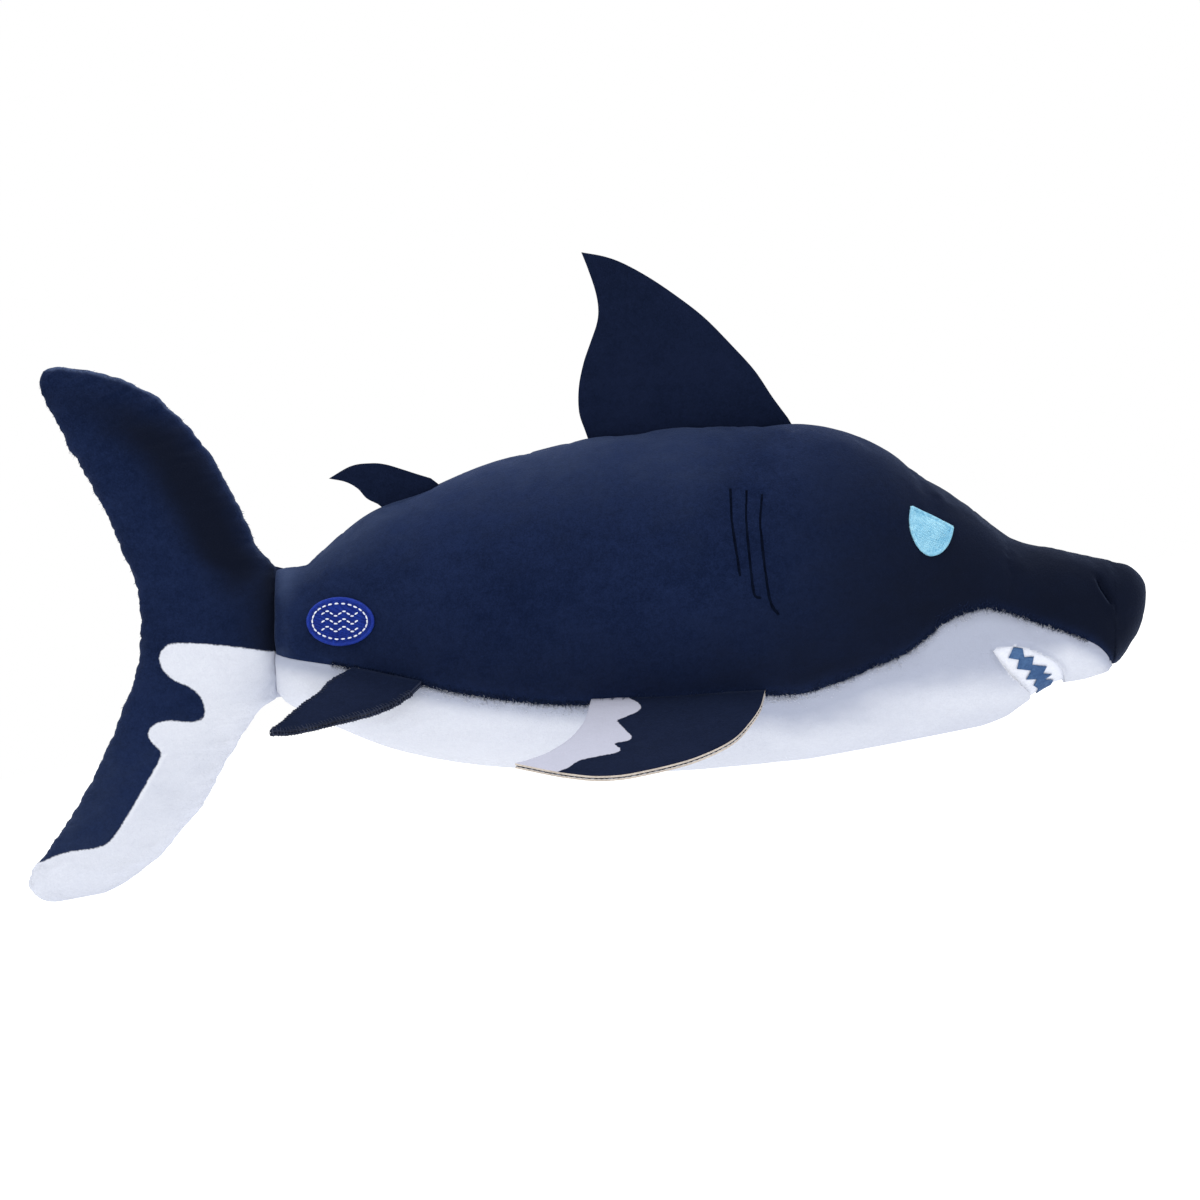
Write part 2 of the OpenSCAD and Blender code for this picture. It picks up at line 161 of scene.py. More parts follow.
class Graph:
    """The node tree of one material."""

    def __init__(self, name: str) -> None:
        """Makes the material with a lone Principled shader.

        Args:
            name: the material's name.
        """
        self.material = bpy.data.materials.new(name)
        self.material.use_nodes = True
        self.tree = self.material.node_tree
        self.tree.nodes.clear()
        self.shader = self.tree.nodes.new("ShaderNodeBsdfPrincipled")
        output = self.tree.nodes.new("ShaderNodeOutputMaterial")
        self.tree.links.new(self.shader.outputs[0], output.inputs[0])

    def node(self, kind: str, settings: dict, inputs: dict, out: int | str = 0) -> Value:
        """Adds one node.

        Args:
            kind: the node's type.
            settings: the node's own properties, set first.
            inputs: values or links, by the socket's index or name.
            out: the output to return.

        Returns:
            The chosen output.
        """
        node = self.tree.nodes.new(kind)
        for key, value in settings.items():
            setattr(node, key, value)
        for key, value in inputs.items():
            if isinstance(value, Value):
                self.tree.links.new(value.socket, node.inputs[key])
            else:
                node.inputs[key].default_value = value
        return Value(self, node.outputs[out])

    def place(self) -> Value:
        """The point on the piece, in metres."""
        return self.node("ShaderNodeTexCoord", {}, {}, "Object")

    def stretched(self, scale: tuple[float, float, float], turn: float = 0.0) -> Value:
        """The point on the piece, scaled along each axis.

        Args:
            scale: the factors along X, Y and Z.
            turn: a turn about Y first, in radians.

        Returns:
            The mapped point.
        """
        inputs = {"Vector": self.place(), "Scale": scale, "Rotation": (0.0, turn, 0.0)}
        return self.node("ShaderNodeMapping", {}, inputs)

    def noise(self, where: Value, scale: float, detail: float = 3.0, rough: float = 0.55) -> Value:
        """A noise from 0 to 1.

        Args:
            where: the point to read it at.
            scale: cells to the metre.
            detail: octaves.
            rough: the octaves' weight.

        Returns:
            The noise.
        """
        inputs = {"Vector": where, "Scale": scale, "Detail": detail, "Roughness": rough}
        return self.node("ShaderNodeTexNoise", {}, inputs)

    def attribute(self, name: str) -> Value:
        """A number that the mesh keeps at each point."""
        return self.node("ShaderNodeAttribute", {"attribute_name": name}, {}, "Fac")

    def mix(self, factor: Value | float, a: "Value | tuple", b: "Value | tuple") -> Value:
        """A mix of two colours.

        Args:
            factor: 0 gives a, 1 gives b.
            a: the first colour.
            b: the second colour.

        Returns:
            The mixed colour.
        """
        inputs = {0: factor, 6: rgba(a), 7: rgba(b)}
        return self.node("ShaderNodeMix", {"data_type": "RGBA", "clamp_factor": True}, inputs, 2)

    def bump(self, height: Value, distance: float, strength: float = 1.0,
             below: Value | None = None) -> Value:
        """A bumped normal.

        Args:
            height: the relief, from 0 to 1.
            distance: what a height of 1 stands for, in metres.
            strength: how much of it shows.
            below: a normal to put it on.

        Returns:
            The normal.
        """
        inputs = {"Height": height, "Distance": distance, "Strength": strength}
        if below is not None:
            inputs["Normal"] = below
        return self.node("ShaderNodeBump", {}, inputs)

    def finish(self, **sockets: "Value | float | tuple") -> bpy.types.Material:
        """Sets the shader's sockets by name, with _ for a space.

        Args:
            sockets: values or links.

        Returns:
            The material.
        """
        for key, value in sockets.items():
            socket = self.shader.inputs[key.replace("_", " ")]
            if isinstance(value, Value):
                self.tree.links.new(value.socket, socket)
            else:
                socket.default_value = rgba(value) if isinstance(value, tuple) else value
        return self.material


def rgba(colour: "Value | tuple") -> "Value | tuple":
    """A colour with its alpha, or a link as it is."""
    return colour if isinstance(colour, Value) or len(colour) == 4 else (*colour, 1.0)


# ---- finishes


@dataclass(frozen=True)
class PlushFinish:
    """Short-pile plush: fine fibre ends and a little sheen.

    The mesh keeps a number for painted light: above 0 it darkens the pile as painted shade, and
    below 0 it pales it as a painted highlight. Random patches and strokes of pile tone add to it.
    """

    name: str
    deep: tuple[float, float, float]
    lit: tuple[float, float, float]
    shade: tuple[float, float, float]
    # The pale colour: random brushed patches, and a painted highlight where the mesh's number is below 0.
    brushed_and_highlight: tuple[float, float, float]
    sheen: float = 0.12
    sheen_tint: tuple[float, float, float] = (0.30, 0.42, 0.75)
    tuft: float = 0.0004
    fibre_scale: float = 1300.0

    def colour(self, graph: Graph) -> Value:
        """The pile's colour over the surface, with its painted shade and painted highlights.

        Args:
            graph: the material's graph.

        Returns:
            The colour.
        """
        patches = graph.noise(graph.place(), 14.0, 3.0)
        strokes = graph.noise(graph.stretched((1.0, 1.0, 1.8), 0.4), 75.0, 3.0)
        tufts = graph.noise(graph.place(), 420.0, 2.0)
        fibres = graph.noise(graph.place(), self.fibre_scale, 2.0, 0.7)
        tone = patches * 0.4 + strokes * 0.24 + tufts * 0.2 + fibres * 0.4
        pile = graph.mix(tone.step(0.42, 0.82), self.deep, self.lit)
        # Painted shade and painted highlights from the mesh, with random pile tone, choose the shade and pale
        # colours.
        lie_and_painted_light = graph.attribute("nap") + (patches - 0.5) * 0.7 + (strokes - 0.5) * 0.35
        shaded = graph.mix(lie_and_painted_light.step(0.0, 1.0), pile, self.shade)
        return graph.mix((0.0 - lie_and_painted_light).step(0.0, 1.0), shaded, self.brushed_and_highlight)

    def relief(self, graph: Graph) -> Value:
        """The pile's relief: tufts on soft clumps.

        Args:
            graph: the material's graph.

        Returns:
            The normal.
        """
        clumps = graph.noise(graph.place(), 230.0, 3.0)
        soft = graph.bump(clumps, 0.0006, 0.4)
        tufts = graph.noise(graph.place(), self.fibre_scale, 2.0, 0.7)
        return graph.bump(tufts, self.tuft, 0.7, soft)

    def build(self) -> bpy.types.Material:
        """The material."""
        graph = Graph(self.name)
        return self.dress(graph, self.colour(graph))

    def dress(self, graph: Graph, colour: Value) -> bpy.types.Material:
        """Sets the shader for pile of a colour.

        Args:
            graph: the material's graph.
            colour: the colour over the surface.

        Returns:
            The material.
        """
        rough = graph.noise(graph.place(), 90.0, 2.0) * 0.1 + 0.86
        return graph.finish(
            Base_Color=colour,
            Roughness=rough,
            Specular_IOR_Level=0.06,
            Sheen_Weight=self.sheen,
            Sheen_Roughness=0.4,
            Sheen_Tint=self.sheen_tint,
            Normal=self.relief(graph),
        )


@dataclass(frozen=True)
class PrintedPlushFinish:
    """Navy plush with white areas printed on it, where the mesh's print distance is above 0."""

    name: str
    ground: PlushFinish
    printed: PlushFinish
    softness: float = 0.45

    def build(self) -> bpy.types.Material:
        """The material."""
        graph = Graph(self.name)
        ragged = graph.noise(graph.place(), 900.0, 2.0) - 0.5
        inside = (graph.attribute("print_mm") + ragged * 1.1).step(-self.softness, self.softness)
        colour = graph.mix(inside, self.ground.colour(graph), self.printed.colour(graph))
        return self.ground.dress(graph, colour)


@dataclass(frozen=True)
class ThreadFinish:
    """Embroidery or sewing thread: twisted, with a soft shine."""

    name: str
    colour: tuple[float, float, float]
    shade: tuple[float, float, float]
    rough: float = 0.5
    shine: float = 0.3

    def build(self) -> bpy.types.Material:
        """The material."""
        graph = Graph(self.name)
        strands = graph.noise(graph.place(), 1400.0, 2.0)
        tone = graph.noise(graph.place(), 220.0, 2.0) * 0.5 + strands * 0.5
        return graph.finish(
            Base_Color=graph.mix(tone.step(0.3, 0.7), self.shade, self.colour),
            Roughness=strands * 0.2 + self.rough,
            Specular_IOR_Level=self.shine,
            Normal=graph.bump(strands, 0.00015, 0.8),
        )


@dataclass(frozen=True)
class FeltFinish:
    """Matted fibres without a pile: felt, wadding, interlining, the cut edges of plush, and pile ends painted
    pale as a highlight.
    """

    name: str
    colour: tuple[float, float, float]
    shade: tuple[float, float, float]
    fibre_scale: float = 700.0
    depth: float = 0.0004

    def build(self) -> bpy.types.Material:
        """The material."""
        graph = Graph(self.name)
        mat = graph.noise(graph.stretched((1.0, 1.0, 1.6), 0.7), self.fibre_scale, 5.0, 0.7)
        cloud = graph.noise(graph.place(), 70.0, 3.0)
        return graph.finish(
            Base_Color=graph.mix((mat * 0.6 + cloud * 0.4).step(0.35, 0.65), self.shade, self.colour),
            Roughness=mat * 0.1 + 0.86,
            Specular_IOR_Level=0.15,
            Normal=graph.bump(mat, self.depth, 0.9),
        )


@dataclass(frozen=True)
class WovenFinish:
    """Satin ribbon: fine warp and weft."""

    name: str
    colour: tuple[float, float, float]
    shade: tuple[float, float, float]
    pitch: float = 0.00035

    def build(self) -> bpy.types.Material:
        """The material."""
        graph = Graph(self.name)
        across = graph.node("ShaderNodeSeparateXYZ", {}, {0: graph.place()}, "X")
        warp = (across * (2 * math.pi / self.pitch)).sine() * 0.5 + 0.5
        grain = graph.noise(graph.place(), 600.0, 2.0)
        return graph.finish(
            Base_Color=graph.mix(warp * 0.5 + grain * 0.5, self.shade, self.colour),
            Roughness=grain * 0.2 + 0.4,
            Normal=graph.bump(warp, 0.00008, 0.6),
        )


Finish = PlushFinish | PrintedPlushFinish | ThreadFinish | FeltFinish | WovenFinish

# Plush finishes: two random pile tones, a colour for painted shade, and a pale colour for brushed patches and
# painted highlights.
NAVY_PLUSH = PlushFinish(
    "navy_plush", (0.0020, 0.0060, 0.0245), (0.0090, 0.0180, 0.0590), (0.0030, 0.0050, 0.0135),
    (0.045, 0.066, 0.135))
NAVY_FLAT = PlushFinish(
    "navy_flat_plush", (0.0022, 0.0052, 0.0180), (0.0058, 0.0108, 0.0335), (0.0025, 0.0040, 0.012),
    (0.012, 0.022, 0.06), tuft=0.0002)
WHITE_PLUSH = PlushFinish(
    "white_plush", (0.575, 0.60, 0.68), (0.66, 0.685, 0.755), (0.36, 0.39, 0.49),
    (0.70, 0.72, 0.78), 0.1, (0.9, 0.92, 1.0), 0.0005)
GREY_PRINT = PlushFinish(
    "grey_print", (0.42, 0.43, 0.52), (0.46, 0.47, 0.57), (0.36, 0.37, 0.46), (0.48, 0.49, 0.58),
    0.05, (0.9, 0.92, 1.0), 0.0002)
PRINTED_PLUSH = PrintedPlushFinish("printed_plush", NAVY_PLUSH, WHITE_PLUSH)
PRINTED_FLAT = PrintedPlushFinish("printed_flat_plush", NAVY_FLAT, GREY_PRINT, 0.25)
# Pale pile ends: a painted highlight where the tail's front edge catches the light.
PAINTED_HIGHLIGHT_PILE = FeltFinish("edge_pile", (0.13, 0.16, 0.27), (0.05, 0.07, 0.14))
BACKING = FeltFinish("knitted_backing", (0.58, 0.52, 0.46), (0.40, 0.35, 0.31))
NAVY_EDGE = FeltFinish("dyed_backing", (0.022, 0.030, 0.060), (0.006, 0.009, 0.022))
WHITE_FELT = FeltFinish("white_felt", (0.80, 0.82, 0.88), (0.70, 0.73, 0.82))
BLUE_FELT = FeltFinish("blue_felt", (0.075, 0.15, 0.30), (0.035, 0.08, 0.19))
WADDING = FeltFinish("wadding", (0.85, 0.84, 0.8), (0.6, 0.6, 0.58), 300.0, 0.002)
INTERLINING = FeltFinish("interlining_web", (0.16, 0.15, 0.14), (0.06, 0.055, 0.05))
EYE_THREAD = ThreadFinish("eye_thread", (0.38, 0.68, 0.82), (0.17, 0.45, 0.64))
DARK_THREAD = ThreadFinish("dark_thread", (0.0034, 0.0064, 0.0185), (0.0012, 0.0022, 0.007), 0.85, 0.02)
BADGE_THREAD = ThreadFinish("badge_thread", (0.0065, 0.030, 0.27), (0.004, 0.016, 0.17), 0.5, 0.15)
RIM_THREAD = ThreadFinish("badge_rim_thread", (0.012, 0.045, 0.36), (0.006, 0.022, 0.24), 0.5, 0.2)
WHITE_THREAD = ThreadFinish("white_thread", (0.80, 0.83, 0.90), (0.62, 0.65, 0.76))
OVERLOCK_THREAD = ThreadFinish("overlock_thread", (0.050, 0.060, 0.098), (0.010, 0.013, 0.028), 0.7, 0.08)
SATIN = WovenFinish("label_satin", (0.66, 0.66, 0.66), (0.54, 0.54, 0.55))


class Wardrobe:
    """Builds each finish once and hands out its material."""

    def __init__(self) -> None:
        """Starts empty."""
        self._built: dict[str, bpy.types.Material] = {}

    def get(self, finish: Finish) -> bpy.types.Material:
        """The material of a finish.

        Args:
            finish: the finish.

        Returns:
            Its one material.
        """
        if finish.name not in self._built:
            self._built[finish.name] = finish.build()
        return self._built[finish.name]


# ---- shape helpers


def unit(vectors: Points) -> Points:
    """Vectors at a length of 1."""
    return vectors / np.maximum(np.linalg.norm(vectors, axis=-1, keepdims=True), 1e-9)


def distance_along(line: Points) -> Points:
    """How far along a line each of its points is."""
    return np.concatenate([[0], np.cumsum(np.linalg.norm(np.diff(line, axis=0), axis=1))])


def grid_quads(rows: int, cols: int) -> tuple[Points, Points]:
    """The numbers of a grid's points, and its faces.

    Args:
        rows: the grid's rows of points.
        cols: its columns.

    Returns:
        The numbers as a grid, and four of them for each face.
    """
    index = np.arange(rows * cols).reshape(rows, cols)
    quads = np.stack([index[:-1, :-1], index[1:, :-1], index[1:, 1:], index[:-1, 1:]], -1)
    return index, quads.reshape(-1, 4)


def smooth_path(points: list, count: int) -> Points:
    """A smooth curve through given points, evenly spaced along its length.

    Args:
        points: the points that it passes.
        count: how many points to return.

    Returns:
        The curve's points.
    """
    p = np.array(points, float)
    padded = np.vstack([2 * p[0] - p[1], p, 2 * p[-1] - p[-2]])
    dense = []
    for i in range(1, len(padded) - 2):
        a, b, c, d = padded[i - 1 : i + 3]
        s = np.linspace(0, 1, 24, endpoint=False)[:, None]
        dense.append(0.5 * (2 * b + (c - a) * s + (2 * a - 5 * b + 4 * c - d) * s**2
                            + (3 * b - a - 3 * c + d) * s**3))
    line = np.vstack([*dense, p[-1:]])
    run = distance_along(line)
    at = np.linspace(0, run[-1], count)
    return np.stack([np.interp(at, run, line[:, k]) for k in range(line.shape[1])], axis=1)


def edge_distance(points: Points, outline: Points, closed: bool = True) -> Points:
    """How far points lie from an outline; inside a closed one the distance is negative.

    Args:
        points: the points, in the outline's two coordinates.
        outline: the outline's points.
        closed: whether the last point joins the first.

    Returns:
        The distances, in the points' own unit.
    """
    shape = points.shape[:-1]
    p = points.reshape(-1, 2)
    a = outline if closed else outline[:-1]
    b = np.roll(outline, -1, axis=0) if closed else outline[1:]
    best = np.full(len(p), 1e9)
    crossings = np.zeros(len(p), int)
    for u, v in zip(a, b):
        d = v - u
        s = np.clip(((p - u) @ d) / max(d @ d, 1e-12), 0, 1)
        best = np.minimum(best, np.linalg.norm(p - u - s[:, None] * d, axis=1))
        spans = (u[1] > p[:, 1]) != (v[1] > p[:, 1])
        if closed and abs(d[1]) > 1e-12:
            crossings += spans & (p[:, 0] < u[0] + (p[:, 1] - u[1]) * d[0] / d[1])
    sign = np.where(crossings % 2 == 1, -1.0, 1.0) if closed else 1.0
    return (best * sign).reshape(shape)


def lumps(points: Points, cell: float, seed: int) -> Points:
    """A smooth seeded noise from -1 to 1.

    Args:
        points: where to read it, in millimetres.
        cell: the size of its lumps, in millimetres.
        seed: which noise.

    Returns:
        The noise at each point.
    """
    grid = np.random.default_rng(seed).uniform(-1, 1, (32, 32, 32))
    q = points / cell
    base = np.floor(q).astype(int)
    f = q - base
    f = f * f * (3 - 2 * f)
    total = np.zeros(points.shape[:-1])
    for corner in np.ndindex(2, 2, 2):
        c = np.array(corner)
        i = (base + c) % 32
        weight = np.prod(np.where(c == 1, f, 1 - f), axis=-1)
        total += weight * grid[i[..., 0], i[..., 1], i[..., 2]]
    return total


def grid_normals(grid: Points) -> Points:
    """Unit normals of a grid of points, from its rows crossed with its columns."""
    return unit(np.cross(np.gradient(grid, axis=0), np.gradient(grid, axis=1)))


def ramp(distance: Points, run: float) -> Points:
    """A rise from 0 at distance 0 to 1 over a run."""
    return np.clip(distance / run, 0, 1)


def hump(distance: Points, width: float) -> Points:
    """A bell of height 1 at distance 0."""
    return np.exp(-((distance / width) ** 2))


@dataclass(frozen=True)
class Cloth:
    """How plush gives when it is stuffed.

    spare is how much larger the fabric is than its place, and puff is the most that a point may
    move, in millimetres. The rest are the simulation's own settings.
    """

    spare: float
    puff: float
    mass: float = 0.2
    stretch: float = 12.0
    shear: float = 6.0
    bending: float = 0.4
    pressure: float = 4.0
    quality: int = 5
    frames: int = 20

    def set_up(self, cloth: bpy.types.ClothModifier) -> None:
        """Sets a Cloth modifier for this fabric, with no gravity.

        Args:
            cloth: the modifier.
        """
        settings = cloth.settings
        settings.quality = self.quality
        settings.mass = self.mass
        settings.tension_stiffness = self.stretch
        settings.compression_stiffness = self.stretch
        settings.shear_stiffness = self.shear
        settings.bending_stiffness = self.bending
        settings.use_pressure = True
        settings.uniform_pressure_force = self.pressure
        settings.shrink_min = -self.spare
        settings.effector_weights.gravity = 0
        cloth.point_cache.frame_start = 1
        cloth.point_cache.frame_end = self.frames


class MeshKit:
    """Turns level millimetre grids into row-frame meshes."""

    def __init__(self, joints: list[dict]) -> None:
        """Works out the rest pose from the tail joint.

        Args:
            joints: the frame's joints.
        """
        tail = next(j for j in joints if j["name"] == "tail_sway")
        self.pitch = math.atan2(tail["axis"][0], tail["axis"][2])
        c, s = math.cos(self.pitch), math.sin(self.pitch)
        self.turn = np.array([[c, 0, s], [0, 1, 0], [-s, 0, c]])
        self.shift = np.array(tail["pos_m"]) / MM - self.turn @ np.array(TAIL_HINGE)
        self.wardrobe = Wardrobe()

    def row(self, points: Points, over: float = 0.0) -> Points:
        """Level millimetres as row-frame metres, kept above the surface that it rests on.

        Args:
            points: level points.
            over: the least height over that surface, in millimetres.

        Returns:
            Row-frame points.
        """
        placed = points @ self.turn.T + self.shift
        placed[..., 2] = np.maximum(placed[..., 2], over)
        return placed * MM

    def level(self, points: Points) -> Points:
        """Row-frame metres as level millimetres."""
        return (np.asarray(points) / MM - self.shift) @ self.turn

    def mesh(self, name: str, points: Points, faces: list, finish: Finish,
             **numbers: Points) -> Piece:
        """A closed, smooth piece from row-frame points.

        Args:
            name: the piece's name.
            points: its points, in metres.
            faces: its faces.
            finish: its finish.
            numbers: a number for each point, kept as an attribute.

        Returns:
            The object.
        """
        data = bpy.data.meshes.new(name)
        data.from_pydata(points.tolist(), [], faces)
        for key, values in numbers.items():
            layer = data.attributes.new(key, "FLOAT", "POINT")
            layer.data.foreach_set("value", np.asarray(values, np.float32))
        build = bmesh.new()
        build.from_mesh(data)
        bmesh.ops.remove_doubles(build, verts=build.verts, dist=1e-6)
        bmesh.ops.dissolve_degenerate(build, dist=1e-7, edges=build.edges)
        bmesh.ops.recalc_face_normals(build, faces=build.faces)
        for face in build.faces:
            face.smooth = True
        build.to_mesh(data)
        build.free()
        data.materials.append(self.wardrobe.get(finish))
        piece = bpy.data.objects.new(name, data)
        bpy.context.scene.collection.objects.link(piece)
        return piece

    def shell(self, name: str, outer: Points, inner: Points, finish: Finish,
              **numbers: Points) -> Piece:
        """A closed fabric shell between two row-frame grids.

        Args:
            name: the piece's name.
            outer: the outer face's grid.
            inner: the inner face's grid.
            finish: its finish.
            numbers: a number for each point of one grid.

        Returns:
            The object.
        """
        index, quads = grid_quads(*outer.shape[:2])
        n = index.size
        ring = np.concatenate([index[0, :-1], index[:-1, -1], index[-1, :0:-1], index[:0:-1, 0]])
        after = np.roll(ring, -1)
        walls = np.stack([ring, after, after + n, ring + n], -1)
        faces = np.vstack([quads, quads[:, ::-1] + n, walls]).tolist()
        points = np.vstack([outer.reshape(-1, 3), inner.reshape(-1, 3)])
        doubled = {k: np.tile(np.asarray(v, float).ravel(), 2) for k, v in numbers.items()}
        return self.mesh(name, points, faces, finish, **doubled)

    def stuffed(self, grid: Points, facing: int, cloth: Cloth) -> Points:
        """A cover pushed out by its stuffing, as cloth that is sewn down along its border.

        Args:
            grid: the cover's level grid.
            facing: 1 where its rows crossed with its columns point outward, else -1.
            cloth: how the fabric gives.

        Returns:
            The level grid after the cloth has settled.
        """
        start = (grid @ self.turn.T + self.shift)[:, ::facing] * MM
        index, quads = grid_quads(*start.shape[:2])
        data = bpy.data.meshes.new("cloth")
        data.from_pydata(start.reshape(-1, 3).tolist(), [], quads.tolist())
        fabric = bpy.data.objects.new("cloth", data)
        bpy.context.scene.collection.objects.link(fabric)
        sewn = fabric.vertex_groups.new(name="sewn")
        border = np.unique(np.concatenate([index[0], index[-1], index[:, 0], index[:, -1]]))
        sewn.add(border.tolist(), 1.0, "REPLACE")
        modifier = fabric.modifiers.new("cloth", "CLOTH")
        modifier.settings.vertex_group_mass = sewn.name
        cloth.set_up(modifier)
        for frame in range(1, cloth.frames + 1):
            bpy.context.scene.frame_set(frame)
        shown = fabric.evaluated_get(bpy.context.evaluated_depsgraph_get()).data
        flat = np.empty(start.size, np.float32)
        shown.vertices.foreach_get("co", flat)
        bpy.data.objects.remove(fabric)
        bpy.context.scene.frame_set(1)
        move = flat.reshape(start.shape).astype(float) - start
        reach = np.linalg.norm(move, axis=-1, keepdims=True)
        limit = cloth.puff * MM
        kept = move * limit / (limit + reach)
        LOG.info("cloth moved %.2f mm at most", np.linalg.norm(kept, axis=-1).max() / MM)
        return self.level((start + kept)[:, ::facing])

    def tubes(self, lines: list[Points], radius: float, sides: int = 5) -> tuple[Points, list]:
        """Closed tapered tubes along row-frame lines.

        Args:
            lines: each tube's points.
            radius: the tubes' radius.
            sides: the sides of each tube.

        Returns:
            Points and faces.
        """
        points, faces = [], []
        start = 0
        angles = np.linspace(0, 2 * math.pi, sides, endpoint=False)
        for line in lines:
            along = unit(np.gradient(line, axis=0))
            aside = unit(np.cross(along, [0.3, 0.2, 0.93]))
            up = np.cross(aside, along)
            m = len(line)
            width = radius * np.sqrt(np.clip(np.sin(np.linspace(0.12, math.pi - 0.12, m)), 0, 1))
            ring = line[:, None] + width[:, None, None] * (
                np.cos(angles)[None, :, None] * aside[:, None]
                + np.sin(angles)[None, :, None] * up[:, None])
            points.append(ring.reshape(-1, 3))
            for i in range(m - 1):
                for j in range(sides):
                    k = (j + 1) % sides
                    a = start + i * sides
                    faces.append([a + j, a + k, a + sides + k, a + sides + j])
            faces.append([start + j for j in range(sides)][::-1])
            faces.append([start + (m - 1) * sides + j for j in range(sides)])
            start += m * sides
        return np.vstack(points), faces

    def cut(self, piece: Piece, cutter: Piece, operation: str) -> None:
        """Applies a boolean to a piece and removes the cutter.

        Args:
            piece: the piece to change.
            cutter: the other solid.
            operation: DIFFERENCE or INTERSECT.
        """
        step = piece.modifiers.new("cut", "BOOLEAN")
        step.operation = operation
        step.solver = "EXACT"
        step.object = cutter
        select_only(piece)
        bpy.ops.object.modifier_apply(modifier=step.name)
        bpy.data.objects.remove(cutter)


def select_only(piece: Piece) -> None:
    """Makes one piece the selected and active one.

    Args:
        piece: the piece.
    """
    bpy.ops.object.select_all(action="DESELECT")
    piece.select_set(True)
    bpy.context.view_layer.objects.active = piece


# ---- body shapes


@dataclass
class Table:
    """Rows that are read smoothly between their first values."""

    rows: list

    def __post_init__(self) -> None:
        """Keeps the rows as an array, with their slopes."""
        self.data = np.array(self.rows, float)
        x = self.data[:, 0]
        before = np.maximum(np.arange(len(x)) - 1, 0)
        after = np.minimum(np.arange(len(x)) + 1, len(x) - 1)
        self.slopes = (self.data[after] - self.data[before]) / (x[after] - x[before])[:, None]

    def at(self, x: Points, column: int) -> Points:
        """A column's value at x.

        Args:
            x: where to read it.
            column: which column.

        Returns:
            The values.
        """
        first = self.data[:, 0]
        i = np.clip(np.searchsorted(first, x, side="right") - 1, 0, len(first) - 2)
        d = first[i + 1] - first[i]
        s = (x - first[i]) / d
        p, q = self.data[i, column], self.data[i + 1, column]
        m, n = self.slopes[i, column] * d, self.slopes[i + 1, column] * d
        return ((2 * s**3 - 3 * s**2 + 1) * p + (s**3 - 2 * s**2 + s) * m
                + (3 * s**2 - 2 * s**3) * q + (s**3 - s**2) * n)


